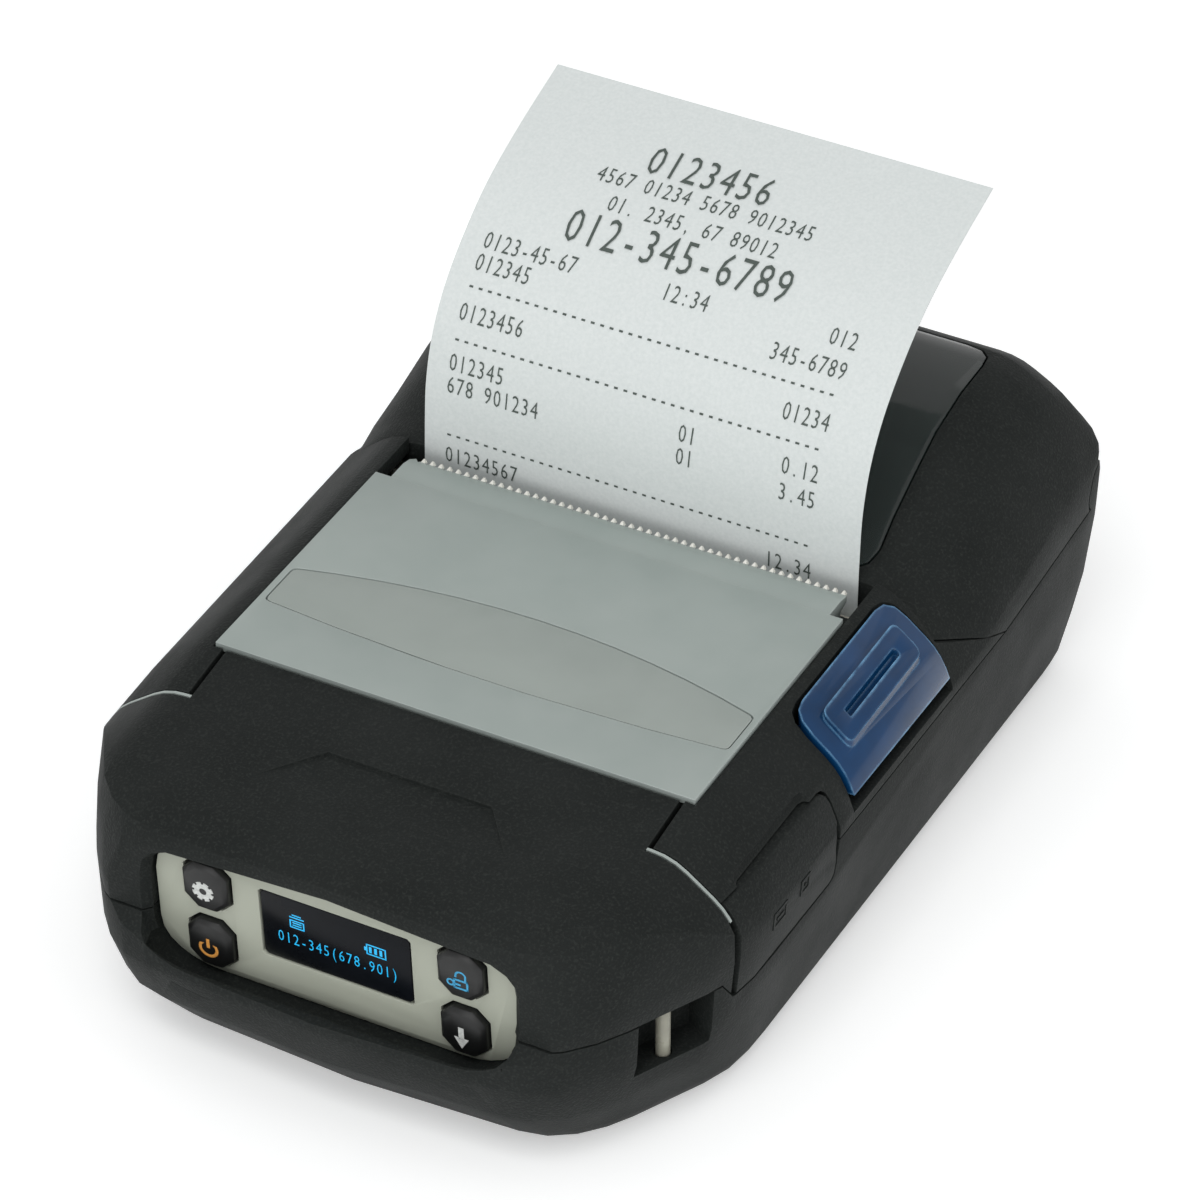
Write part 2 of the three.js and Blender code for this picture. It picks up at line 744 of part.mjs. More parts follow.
// Low wall behind the latch, so that the slot under it doesn't look into the case
const skirtInset = 3.8;
const skirtThickness = 1.2;
const skirtReturn = 1.5;
const skirtDrop = 0.6;

function latchSkirt() {
  const low = caseSeamHeight + seamGap / 2;
  const high = latchBottom - latchTravel - skirtDrop;
  const outer = halfWidth - skirtInset;
  const ends = [latchFront - latchGap, latchRear + latchGap];
  const wallBehind = box(outer - skirtThickness, outer, ends[0] - skirtReturn, ends[1] + skirtReturn,
    low, high);
  return wallBehind
    .add(box(outer - bite, halfWidth, ends[0] - skirtReturn, ends[0], low, high))
    .add(box(outer - bite, halfWidth, ends[1], ends[1] + skirtReturn, low, high))
    .intersect(planSolid(wall / 2));
}

function upperCase() {
  const railFront = hoodSeam + trimGap;
  const railRegion = box(railInner, side, railFront, rear, -overrun, sky)
    .add(box(trimHalf + clearance, railInner + wall, railFront, plateFront - clearance, -overrun, sky));
  const rib = deckOuter.intersect(box(railInner, railInner + wall, railFront, lidFront,
    deckTop - deckThickness, deckHeight));
  const rail = deckOuter.subtract(deckInner)
    .intersect(aboveSeam)
    .intersect(railRegion)
    .add(rib)
    .subtract(behindLidSeam(-seamGap));
  const across = railInner + wall / 2;
  let body = rail.add(mirrorIf(rail, -1))
    .add(box(-across, across, plateFront + clearance, plateBack, deckTop - deckThickness, deckTop))
    .add(box(-across, across, plateBack - wall, plateBack - clearance, stepTop - deckThickness, deckTop))
    .add(box(-across, across, plateBack - wall, tearEdge - stepSetback,
      stepTop - deckThickness, stepTop));
  for (const sign of [-1, 1]) {
    body = body.add(cylinderZ(boardBossRadius, boardTop + clearance, deckTop - bite,
      sign * (boardHalf - boardBossInset), boardRear - boardBossInset, 12));
  }
  const shelf = box(latchSpringX - latchSpringRadius - shelfMargin, halfWidth - wall / 2,
    latchSpringY - shelfHalf, latchSpringY + shelfHalf, shelfTop - shelfThickness, shelfTop);
  return body.add(shelf.intersect(planSolid(wall / 2)))
    .subtract(latchOutline(latchGap, latchBottom - latchTravel - latchGap))
    .add(latchSkirt())
    .subtract(portDoorRegion(seamGap))
    .subtract(thumbGroove());
}

// Thin silver edge that shows in the seam between hood and rail
function seamTrim(sign) {
  const slab = box(trimHalf - trimThickness, halfWidth, hoodSeam - trimThickness / 2,
    hoodSeam + trimThickness / 2, deckHeight - trimDrop, deckHeight);
  return mirrorIf(slab.intersect(deckOuter.subtract(deckInner)), sign);
}

// Silver top plate with the recess of the badge, and the badge itself
const badgeMargin = 1.3;
const badgeHalf = plateHalf - badgeMargin;
const badgeSetback = 11.4;
const badgeLength = 17.4;
const badgeFrontBow = 2.1;
const badgeRearBow = 6.2;
const badgeEndRadius = 1;
const badgeSteps = 6;
const badgeRecess = 0.7;
const badgeSunk = 0.1;
const badgeGap = 0.2;
const badgeFront = plateFront + badgeSetback;

function badgeOutline(grow) {
  const bowed = (middle, bow) => Array.from({ length: badgeSteps + 1 }, (_, i) =>
    [(badgeHalf + grow) * i / badgeSteps, middle + bow * (i / badgeSteps) ** 2]);
  const near = bowed(badgeFront - grow, badgeFrontBow);
  const far = bowed(badgeFront + badgeLength + grow, -badgeRearBow).reverse();
  const radii = near.map((_, i) => i === badgeSteps ? badgeEndRadius : 0);
  return mirrored(roundedLine([...near, ...far], [...radii, ...radii.slice().reverse()]));
}

const topPlate = () => box(-plateHalf, plateHalf, plateFront, plateBack - clearance,
  deckHeight - plateThickness, deckHeight)
  .subtract(prismZ(badgeOutline(badgeGap), deckHeight - badgeRecess, sky));

const badgePlate = () =>
  prismZ(badgeOutline(0), deckHeight - badgeRecess + clearance, deckHeight - badgeSunk);

// Tear bar with its saw teeth
const toothPitch = 1.6;
const toothDepth = 0.9;
const tearSlope = 3;
const tearLipDrop = 0.7;
const tearLipThickness = 0.5;
const tearUndercut = 2.4;

function tearBar() {
  const count = Math.floor((2 * tearHalf) / toothPitch);
  const edge = [[-tearHalf, plateBack], [tearHalf, plateBack]];
  for (let i = 0; i < count; i++) {
    const x = tearHalf - i * toothPitch;
    edge.push([x, tearEdge - toothDepth], [x - toothPitch / 2, tearEdge]);
  }
  edge.push([-tearHalf, tearEdge - toothDepth]);
  const lip = tearTop - tearLipDrop;
  const slope = tearEdge - tearSlope;
  const profile = prismX([
    [plateBack - overrun, tearTop],
    [plateBack - overrun, tearTop - tearThickness],
    [slope, tearTop - tearThickness],
    [slope, tearTop - tearUndercut],
    [tearEdge, lip - tearLipThickness],
    [tearEdge, lip],
    [slope, tearTop],
  ], -tearHalf, tearHalf);
  return prismZ(edge, 0, sky).intersect(profile);
}

// Control panel pieces, built flat and leant by their group
const panelGap = 0.3;
const displayHeight = 13.4;
const displayRise = 0.6;
const displayCorner = 0.6;
const displaySunk = 0.2;
const moduleMargin = 2.5;
const moduleThickness = 1.6;
const keypadMargin = 2;
const keypadThickness = 1.2;
const buttonInset = 9.4;
const displayRoom = 9.3;
const buttonX = panelHalf - buttonInset;
const displayHalf = buttonX - displayRoom;
const buttonDrop = 1.2;
const buttonSpacing = 12;
const buttonHalfWidth = 4;
const buttonHalfHeight = 4.7;
const buttonChamfer = 2.2;
const buttonProud = 1.5;
const buttonBevel = 0.7;
const buttonTravel = 0.8;
const buttonFlange = 0.8;
const flangeGrow = 0.6;
const panelBack = -bezelThickness - panelGap;

const buttonUpper = buttonSpacing / 2 - buttonDrop;
const buttonLower = -buttonSpacing / 2 - buttonDrop;
const buttonPlaces = {
  button_settings: [-buttonX, buttonUpper],
  button_power: [-buttonX, buttonLower],
  button_unlock: [buttonX, buttonUpper],
  button_feed: [buttonX, buttonLower],
};

function octagon(u, v, grow) {
  const a = buttonHalfWidth + grow;
  const b = buttonHalfHeight + grow;
  const c = buttonChamfer;
  return [
    [u - a, v - b + c],
    [u - a + c, v - b],
    [u + a - c, v - b],
    [u + a, v - b + c],
    [u + a, v + b - c],
    [u + a - c, v + b],
    [u - a + c, v + b],
    [u - a, v + b - c],
  ];
}

const displayOutline = grow => roundedRectangle(-displayHalf - grow, displayHalf + grow,
  displayRise - displayHeight / 2 - grow, displayRise + displayHeight / 2 + grow, displayCorner, 1);

function controlBezel() {
  const outline = panelOutline(0).map(([u, v]) => [u, v - panelCentreHeight]);
  const holes = [displayOutline(panelGap)];
  Object.values(buttonPlaces).forEach(([u, v]) => holes.push(octagon(u, v, panelGap)));
  return holes.reduce((body, hole) => body.subtract(prismZ(hole, -overrun, overrun)),
    prismZ(outline, -bezelThickness, 0));
}

function panelButton([u, v]) {
  const at = (grow, w) => octagon(u, v, grow).map(([a, b]) => [a, b, w]);
  const edge = buttonProud - buttonBevel;
  const cap = loft([at(0, panelBack - bite), at(0, edge), at(-buttonBevel, buttonProud)]);
  return cap.add(prismZ(octagon(u, v, flangeGrow), panelBack - buttonFlange, panelBack));
}

const displayGlass = () => prismZ(displayOutline(0), -bezelThickness, -displaySunk);
const displayModule = () => prismZ(displayOutline(moduleMargin), panelBack - moduleThickness, panelBack);

function keypadBoard() {
  const top = Math.min(panelBack - moduleThickness, panelBack - buttonFlange - buttonTravel) - panelGap;
  const plan = roundedRectangle(-panelHalf + keypadMargin, panelHalf - keypadMargin,
    panelBottom + keypadMargin - panelCentreHeight, panelSideTop - keypadMargin - panelCentreHeight,
    keypadMargin);
  return prismZ(plan, top - keypadThickness, top);
}

// Print frame, side plates and what stands outside them
const plateMargin = 2.05;
const framePlate = 1.4;
const armGap = 0.5;
const armThickness = 1.5;
const gearGap = 0.6;
const gearWidth = 2.2;
const hookGap = 3;
const hookThickness = 1.6;
const plateInner = paperWidth / 2 + plateMargin;
const plateOuter = plateInner + framePlate;
const armInner = plateOuter + armGap;
const armOuter = armInner + armThickness;
const gearInner = armOuter + gearGap;
const gearOuter = gearInner + gearWidth;
const bigGearInner = gearOuter + gearGap;
const bigGearOuter = bigGearInner + gearWidth;
const hookInner = plateOuter + hookGap;
const hookOuter = hookInner + hookThickness;

// Hook that the latch releases
const hookSetback = 11.5;
const hookDrop = 11.5;
const hookPivotRadius = 1.6;
const hookRootHalf = 2.6;
const hookFlare = 0.8;
const hookNoseLow = 3.4;
const hookNoseHigh = 5.6;
const hookNoseGap = 0.5;
const hookWaist = 0.4;
const hookBack = 1.4;
const hookTailLength = 17;
const hookTailThickness = 2.4;
const hookTailDrop = 5.5;
const hookY = platenY - hookSetback;
const hookZ = platenHeight - hookDrop;
const hookTailTop = platenHeight - hookTailDrop;

function latchHook() {
  const nose = platenY - shaftRadius - hookNoseGap;
  const arm = prismX([
    [hookY - hookRootHalf, hookZ - hookRootHalf],
    [hookY + hookRootHalf, hookZ - hookRootHalf],
    [hookY + hookRootHalf + hookFlare, platenHeight + hookNoseLow],
    [nose, platenHeight + hookNoseLow],
    [nose, platenHeight + hookNoseHigh],
    [hookY + hookWaist, platenHeight + hookNoseHigh],
    [hookY - hookBack, hookTailTop],
    [hookY - hookTailLength, hookTailTop],
    [hookY - hookTailLength, hookTailTop - hookTailThickness],
    [hookY - hookRootHalf - hookFlare, hookZ],
  ], hookInner, hookOuter);
  return arm.subtract(cylinderX(hookPivotRadius + clearance, hookInner, hookOuter, hookY, hookZ, 14));
}

// Latch button over the shoulder of the right rail, with its rib pad, post and spring seat
const padInset = 3.8;
const padWidth = 5.2;
const padHeight = 0.9;
const padMargin = 4;
const padCorner = 1.5;
const padSlotHalf = 0.6;
const postLength = 3;
const postInset = 0.5;
const postOverlap = 2;
const spigotLength = 2.5;
const seatMargin = 0.5;
const spigotGap = 1;

function latchButton() {
  const skin = grow => planSolid(-grow, -grow, 0).intersect(sectionSolid(deckSections, -grow));
  const under = planSolid(latchThickness, latchThickness, 0)
    .intersect(sectionSolid(deckSections, latchThickness));
  const padOuter = halfWidth - padInset;
  const padInner = padOuter - padWidth;
  const padMiddle = (padInner + padOuter) / 2;
  const pad = prismZ(roundedRectangle(padInner, padOuter, latchFront + padMargin, latchRear - padMargin,
    padCorner), latchBottom, sky);
  const slot = prismZ(roundedRectangle(padMiddle - padSlotHalf, padMiddle + padSlotHalf,
    latchFront + 2 * padMargin, latchRear - 2 * padMargin, padSlotHalf), latchBottom, sky);
  const postFront = hookY - hookTailLength + postInset;
  const post = box(hookInner, hookOuter + postOverlap, postFront, postFront + postLength,
    hookTailTop + clearance, deckHeight);
  const seat = cylinderZ(latchSpringRadius + seatMargin, latchSpringTop, deckHeight,
    latchSpringX, latchSpringY, 10);
  const spigot = cylinderZ(latchSpringRadius - spigotGap, latchSpringTop - spigotLength, deckHeight,
    latchSpringX, latchSpringY, 10);
  return skin(latchProud).subtract(under).intersect(latchOutline(0, latchBottom))
    .add(skin(latchProud + padHeight).subtract(under).intersect(pad))
    .subtract(slot.subtract(skin(latchProud - bite)))
    .add(post.add(seat).add(spigot).intersect(skin(0)));
}

// Gear train: platen gear, compound idler, motor pinion
const gearModule = 0.7;
const rootShare = 1.25;
const gapShare = 0.82;
const platenTeeth = 12;
const idlerSmallTeeth = 12;
const idlerBigTeeth = 24;
const pinionTeeth = 10;
const backlash = 0.12;
const centreSlack = 0.12;
const gearBoreSlack = 0.25;
const studRadius = 1.5;
const headClear = 0.4;
const pressureAngle = THREE.MathUtils.degToRad(20);
const motorAngle = THREE.MathUtils.degToRad(225);
const gearDistance = (a, b) => (gearModule * (a + b)) / 2 + centreSlack;
const motorDistance = gearDistance(idlerBigTeeth, pinionTeeth);
const idlerZ = platenHeight - gearDistance(platenTeeth, idlerSmallTeeth);
const motorY = platenY + motorDistance * Math.cos(motorAngle);
const motorZ = idlerZ + motorDistance * Math.sin(motorAngle);

// Involute outline of a gear with a tooth centred on the angle phase
function gearOutline(teeth, phase) {
  const pitch = (gearModule * teeth) / 2;
  const base = pitch * Math.cos(pressureAngle);
  const tip = pitch + gearModule;
  const root = pitch - rootShare * gearModule;
  const involute = angle => Math.tan(angle) - angle;
  const halfPitch = Math.PI / (2 * teeth) - backlash / (2 * pitch) + involute(pressureAngle);
  const halfAt = radius => halfPitch - involute(Math.acos(Math.min(1, base / radius)));
  const start = Math.max(base, root);
  const radii = [start, (start + tip) / 2, tip];
  const rootHalf = (Math.PI / teeth) * gapShare;
  const polar = (radius, angle) => [radius * Math.cos(angle), radius * Math.sin(angle)];
  const points = [];
  for (let i = 0; i < teeth; i++) {
    const middle = phase + (2 * Math.PI * i) / teeth;
    points.push(polar(root, middle - rootHalf));
    radii.forEach(radius => points.push(polar(radius, middle - halfAt(radius))));
    [...radii].reverse().forEach(radius => points.push(polar(radius, middle + halfAt(radius))));
    points.push(polar(root, middle + rootHalf));
  }
  return points;
}

function gear(teeth, phase, x0, x1, y, z, bore) {
  const shape = shapeOf(gearOutline(teeth, phase));
  if (bore) {
    shape.holes.push(new THREE.Path().absarc(0, 0, bore, 0, 2 * Math.PI, true));
  }
  return solid(extrude(shape, x1 - x0, alongX).translate(x0, y, z));
}

const platenGear = () => gear(platenTeeth, -Math.PI / 2, -gearOuter, -gearInner,
  platenY, platenHeight, shaftRadius + gearBoreSlack);

function idlerGear() {
  const phase = Math.PI / 2 + Math.PI / idlerSmallTeeth;
  const bore = studRadius + gearBoreSlack;
  const small = gear(idlerSmallTeeth, phase, -bigGearInner - bite, -gearInner, platenY, idlerZ, bore);
  return small.add(gear(idlerBigTeeth, motorAngle, -bigGearOuter, -bigGearInner, platenY, idlerZ, bore));
}

const motorShaftRadius = 1;
const motorRadius = 7.4;
const motorLength = 17;
const motorFace = -plateInner + clearance;

function motorPinion() {
  const phase = motorAngle + Math.PI + Math.PI / pinionTeeth;
  const shaft = cylinderX(motorShaftRadius, -bigGearOuter - headClear, motorFace - clearance,
    motorY, motorZ, 12);
  return gear(pinionTeeth, phase, -bigGearOuter, -bigGearInner, motorY, motorZ).add(shaft);
}

const stepperMotor = () => cylinderX(motorRadius, motorFace, motorFace + motorLength, motorY, motorZ, 20);

// Print head, its heat sink, and the springs that press them against the platen
const headMargin = 0.5;
const headSetback = 1;
const headBelow = 6.9;
const headAbove = 5.9;
const headThickness = 1;
const heatsinkThickness = 3;
const headHalf = paperWidth / 2 + headMargin;
const headBottom = platenHeight - headBelow;
const headTop = platenHeight + headAbove;
const headPlane = lidFront - headSetback;
const headBack = headPlane - headThickness;
const heatsinkFace = headBack - clearance;
const heatsinkBack = heatsinkFace - heatsinkThickness;

const headSpringX = 24;
const headSpringRadius = 2.4;
const headSpringWire = 0.35;
const headSpringLength = 5;
const springSeatY = heatsinkBack - headSpringLength - 2 * clearance;

const printHead = () => box(-headHalf, headHalf, headBack, headPlane, headBottom, headTop);
const headHeatsink = () => box(-headHalf, headHalf, heatsinkBack, heatsinkFace, headBottom, headTop);

// Helical compression spring, one unbroken tube with flat-cut ends
function spring(radius, wire, length, matrix) {
  const turns = 4;
  const steps = 8;
  const sides = 4;
  const rings = [];
  for (let i = 0; i <= turns * steps; i++) {
    const angle = (2 * Math.PI * i) / steps;
    const rise = wire + ((length - 2 * wire) * i) / (turns * steps);
    const out = new THREE.Vector3(Math.cos(angle), Math.sin(angle), 0);
    const ring = [];
    for (let j = 0; j < sides; j++) {
      const turn = (-2 * Math.PI * j) / sides;
      const reach = radius + wire * Math.cos(turn);
      const point = out.clone().multiplyScalar(reach).setZ(rise + wire * Math.sin(turn));
      ring.push(point.applyMatrix4(matrix).toArray());
    }
    rings.push(ring);
  }
  return loft(rings);
}

function headSpring(sign) {
  const matrix = basis(axisZ, axisX, axisY)
    .setPosition(sign * headSpringX, springSeatY + clearance, (headBottom + headTop) / 2);
  return spring(headSpringRadius, headSpringWire, headSpringLength, matrix);
}

function latchSpring() {
  const matrix = new THREE.Matrix4().setPosition(latchSpringX, latchSpringY, shelfTop + clearance);
  return spring(latchSpringRadius, latchSpringWire, latchSpringTop - shelfTop - 2 * clearance, matrix);
}

// Print frame: two side plates joined by a floor and the seat of the head springs, with the
// studs of the idler and the hook
const frameReach = 8.5;
const frameFeet = 1.2;
const frameFloorLength = 14;
const frameFloorThickness = 1.6;
const frameBrow = 3;
const frameLean = 4;
const frameShoulder = 8;
const bushingRadius = 3.5;
const seatThickness = 1.4;
const seatTrim = 2;
const frameScrewX = 30;
const frameFront = plateBack - frameSetback;
const frameBack = platenY + frameReach;
const frameFloor = wall + frameFeet;
const frameFloorTop = frameFloor + frameFloorThickness;
const frameScrewY = frameFront + frameFloorLength / 2;

function printFrame() {
  const restZ = platenHeight - bushingRadius - clearance;
  const restY = platenY - bushingRadius - clearance;
  const plate = prismX([
    [frameFront, frameFloor],
    [frameBack, frameFloor],
    [frameBack, restZ],
    [restY, restZ],
    [restY, platenHeight + frameBrow],
    [frameFront + frameLean, platenHeight + frameBrow],
    [frameFront, platenHeight - frameShoulder],
  ], plateInner, plateOuter);
  let body = plate.add(mirrorIf(plate, -1))
    .add(box(-plateOuter, plateOuter, frameFront, frameFront + frameFloorLength,
      frameFloor, frameFloorTop))
    .add(cylinderX(studRadius, -bigGearOuter - headClear, -plateInner - bite, platenY, idlerZ, 14))
    .add(cylinderX(hookPivotRadius, plateInner + bite, hookOuter + headClear, hookY, hookZ, 14))
    .add(box(-plateOuter, plateOuter, springSeatY - seatThickness, springSeatY,
      headBottom + seatTrim, headTop - seatTrim))
    .subtract(cylinderX(2 * motorShaftRadius, -side, motorFace, motorY, motorZ, 16))
    .subtract(cylinderX(motorRadius + clearance, motorFace, motorFace + motorLength + clearance,
      motorY, motorZ, 24));
  for (const x of [-frameScrewX, frameScrewX]) {
    body = body.subtract(cylinderZ(screwRadius + clearance, 0, frameFloorTop + bite, x, frameScrewY));
  }
  return body;
}

// Paper: the web from the roll round the platen and out past the tear bar, curling back
const exitDrop = 4.8;
const curlBack = 47;
const curlUp = 51.5;
const curlShares = [
  [0, 0],
  [0.005, 0.16],
  [0.02, 0.32],
  [0.07, 0.47],
  [0.16, 0.6],
  [0.3, 0.72],
  [0.48, 0.83],
  [0.72, 0.92],
  [1, 1],
];

function webLine() {
  const platen = new THREE.Vector2(platenY, platenHeight);
  const roll = new THREE.Vector2(rollY, rollHeight);
  const inner = platenRadius + paperGap;
  const outer = rollRadius + paperGap;
  const toRoll = roll.clone().sub(platen);
  const start = toRoll.angle() - Math.acos((inner - outer) / toRoll.length());
  const round = angle => new THREE.Vector2(Math.cos(angle), Math.sin(angle));
  const line = [roll.addScaledVector(round(start), outer)];
  const from = THREE.MathUtils.euclideanModulo(start, 2 * Math.PI);
  const steps = 5;
  for (let i = 0; i <= steps; i++) {
    const angle = from + ((Math.PI - from) * i) / steps;
    line.push(platen.clone().addScaledVector(round(angle), inner));
  }
  const exit = platenY - inner;
  curlShares.forEach(([back, up]) =>
    line.push(new THREE.Vector2(exit + back * curlBack, deckHeight - exitDrop + up * curlUp)));
  return line;
}

function paperWeb() {
  const line = webLine();
  const offset = line.map((point, i) => {
    const along = line[Math.min(line.length - 1, i + 1)].clone().sub(line[Math.max(0, i - 1)]);
    const normal = new THREE.Vector2(-along.y, along.x).setLength(paperThickness);
    return point.clone().add(normal);
  });
  const outline = [...line, ...offset.reverse()].map(point => [point.x, point.y]);
  return prismX(outline, -paperWidth / 2, paperWidth / 2);
}

// A tube along X between its inner and outer radius
const tubeX = (inner, outer, x0, x1, y, z, sides) =>
  latheX([[inner, x0], [outer, x0], [outer, x1], [inner, x1], [inner, x0]], y, z, sides);

const paperRoll = () =>
  tubeX(coreRadius + clearance, rollRadius, -paperWidth / 2, paperWidth / 2, rollY, rollHeight, 32);
const rollCore = () =>
  tubeX(coreRadius - coreWall, coreRadius, -paperWidth / 2, paperWidth / 2, rollY, rollHeight, 20);

// Cradle under the roll, with a hub at each end for the core
const hubReach = 4;
const cradleFrom = THREE.MathUtils.degToRad(238);
const cradleTo = THREE.MathUtils.degToRad(352);

function paperTray() {
  const inner = rollRadius + cradleGap;
  const outer = inner + cradleWall;
  const steps = 9;
  const arc = (radius, from, to) => Array.from({ length: steps + 1 }, (_, i) => {
    const angle = from + ((to - from) * i) / steps;
    return [rollY + radius * Math.cos(angle), rollHeight + radius * Math.sin(angle)];
  });
  const under = arc(outer, cradleFrom, cradleTo);
  const trough = prismX([...under, ...arc(inner, cradleTo, cradleFrom)], -trayHalf, trayHalf);
  const hub = coreRadius - coreWall - clearance;
  const end = prismX([...under, [rollY, rollHeight]], trayHalf, cradleHalf)
    .add(cylinderX(hub, trayHalf - hubReach, trayHalf + bite, rollY, rollHeight));
  return trough.add(end).add(mirrorIf(end, -1));
}

// Platen assembly, carried by the lid
const bracketRise = 9.1;
const bracketHalf = 3;
const bracketThickness = 1.4;
const bracketBack = 4.4;
const bracketFront = 2.4;
const rollerMargin = 0.8;
const rollerSlack = 0.2;
const bushingMargin = 1.3;
const bracketTop = platenHeight + bracketRise;

function platenBracket() {
  const arm = prismX([
    [platenY - bracketHalf, platenHeight - bracketHalf],
    [platenY + bracketHalf, platenHeight - bracketHalf],
    [platenY + bracketBack, bracketTop],
    [platenY - bracketFront, bracketTop],
  ], armInner, armOuter);
  return arm.add(mirrorIf(arm, -1))
    .add(box(-armOuter, armOuter, platenY - bracketFront, platenY + bracketBack,
      bracketTop - bracketThickness, bracketTop))
    .subtract(cylinderX(shaftRadius + clearance, -side, side, platenY, platenHeight));
}

const platenShaft = () =>
  cylinderX(shaftRadius, -gearOuter - headClear, hookOuter + headClear, platenY, platenHeight);

function platenRoller() {
  const half = paperWidth / 2 + rollerMargin;
  return tubeX(shaftRadius + rollerSlack, platenRadius, -half, half, platenY, platenHeight, 20);
}

const platenBushing = sign => mirrorIf(tubeX(shaftRadius + rollerSlack, bushingRadius,
  paperWidth / 2 + bushingMargin, plateOuter + bite, platenY, platenHeight, 16), sign);

// Lid shell with its barrel, and the smoked window in the middle
const windowTrim = 0.15;
const windowHalf = paperWidth / 2 - windowTrim;
const windowSetback = 2.2;
const windowRearInset = 9;
const windowThickness = 1.6;
const windowCorner = 5;
const windowDepth = 8;
const barrelSides = 18;
const lidLip = 1.6;
const lidLipDrop = 1;
const barrelWebRise = 8;
const barrelWebSetback = 0.6;

const windowRegion = grow => prismZ(roundedRectangle(-windowHalf - grow, windowHalf + grow,
  lidFront + windowSetback - grow, rear - windowRearInset + grow, windowCorner),
deckHeight - windowDepth, sky);

function lidShell() {
  const earRoom = cylinderX(knuckleRadius + seamGap, lidBarrelHalf, side, hingeY, hingeHeight, barrelSides)
    .add(box(lidBarrelHalf, side, hingeY, rear + overrun, -overrun,
      hingeHeight + hingeInset + 2 * seamGap));
  const frontLip = lidOuter.intersect(box(-armOuter, armOuter, lidFront + seamGap / 2, lidFront + lidLip,
    bracketTop - lidLipDrop, deckHeight));
  const barrelWeb = lidOuter.intersect(box(-lidBarrelHalf, lidBarrelHalf, hingeY + barrelWebSetback, rear,
    hingeHeight, hingeHeight + barrelWebRise));
  return lidOuter.subtract(lidInner)
    .intersect(aboveSeam)
    .intersect(behindLidSeam(seamGap / 2))
    .subtract(earRoom)
    .subtract(mirrorIf(earRoom, -1))
    .subtract(box(-side, side, hingeY, rear + overrun, -overrun, hingeHeight))
    .add(frontLip)
    .subtract(windowRegion(clearance))
    .add(cylinderX(knuckleRadius, -lidBarrelHalf, lidBarrelHalf, hingeY, hingeHeight, barrelSides))
    .add(barrelWeb)
    .subtract(cylinderX(hingePinRadius + clearance, -side, side, hingeY, hingeHeight));
}

function lidWindow() {
  const under = planSolid(windowThickness, windowThickness, 0)
    .intersect(sectionSolid(lidSections, windowThickness));
  return lidOuter.subtract(under).intersect(windowRegion(0));
}

function hingePin() {
  const half = halfWidth - hingePinInset;
  return cylinderX(hingePinRadius, -half, half, hingeY, hingeHeight);
}

// Port door, the recess behind it and the two sockets in that
const doorThickness = 1.6;
const notchRadius = 1.2;
const housingInset = 5.4;
const housingDepth = 5.2;
const housingMargin = 1.2;
const housingDrop = 2.8;
const housingWall = 1.4;
const housingFloorThickness = 1;
const usbSetback = 9;
const usbHalfWidth = 5;
const usbHalfHeight = 2.2;
const usbWall = 0.7;
const powerSetback = 23;
const powerRadius = 3.6;
const powerWall = 1;
const powerPinRadius = 0.8;
const socketLength = 6.4;
const socketProud = 0.4;
const socketBase = 2;
const portHeight = (doorBottom + doorTop) / 2;
const housingFace = halfWidth - housingInset;
const housingBack = housingFace - housingDepth;
const housingFloor = housingBack + housingFloorThickness;
const socketFace = housingFloor + socketProud;
const socketBack = socketFace - socketLength;
const usbY = doorFront + usbSetback;
const powerY = doorFront + powerSetback;

const portDoor = () => deckOuter
  .subtract(planSolid(doorThickness).intersect(sectionSolid(deckSections, doorThickness)))
  .intersect(portDoorRegion(0))
  .subtract(cylinderZ(notchRadius, doorBottom, sky, halfWidth, doorRear));

const usbBox = (grow, x0, x1) => box(x0, x1, usbY - usbHalfWidth - grow, usbY + usbHalfWidth + grow,
  portHeight - usbHalfHeight - grow, portHeight + usbHalfHeight + grow);

function portHousing() {
  const shell = (inset, x0) => box(x0, housingFace, doorFront + inset, doorRear - inset,
    doorBottom + inset, doorTop - housingDrop - inset + housingMargin);
  return shell(housingMargin, housingBack)
    .subtract(shell(housingMargin + housingWall, housingFloor))
    .subtract(usbBox(clearance, housingBack, housingFloor))
    .subtract(cylinderX(powerRadius + clearance, housingBack, housingFloor, powerY, portHeight));
}

const usbSocket = () => usbBox(0, socketBack, socketFace)
  .subtract(usbBox(-usbWall, socketBack + socketBase, socketFace));

const powerSocket = () => cylinderX(powerRadius, socketBack, socketFace, powerY, portHeight)
  .subtract(cylinderX(powerRadius - powerWall, socketBack + socketBase, socketFace, powerY, portHeight))
  .add(cylinderX(powerPinRadius, socketBack + bite, socketFace - bite, powerY, portHeight, 10));

// A screw standing head down at a height, its shaft up to a length
function screw(x, y, low, length) {
  const head = low + screwHeadHeight;
  return cylinderZ(screwHeadRadius, low, head, x, y)
    .add(cylinderZ(screwRadius, head - bite, head + length, x, y, 12));
}

function frameScrew(x) {
  const low = frameFloorTop + clearance;
  return cylinderZ(screwHeadRadius, low, low + screwHeadHeight, x, frameScrewY)
    .add(cylinderZ(screwRadius, wall + clearance, low + bite, x, frameScrewY, 12));
}

// Assembly
const printer = new THREE.Group();

function add(name, material, body, parent = printer) {
  const mesh = new THREE.Mesh(geometryOf(body), material);
  mesh.name = name;
  parent.add(mesh);
}

add('lower_case', rubberBlack, lowerCase());
add('front_hood', rubberBlack, frontHood());
add('upper_case', rubberBlack, upperCase());
add('seam_trim_left', silver, seamTrim(-1));
add('seam_trim_right', silver, seamTrim(1));
add('top_plate', silver, topPlate());
add('badge_plate', badgeGrey, badgePlate());
add('tear_bar', steel, tearBar());

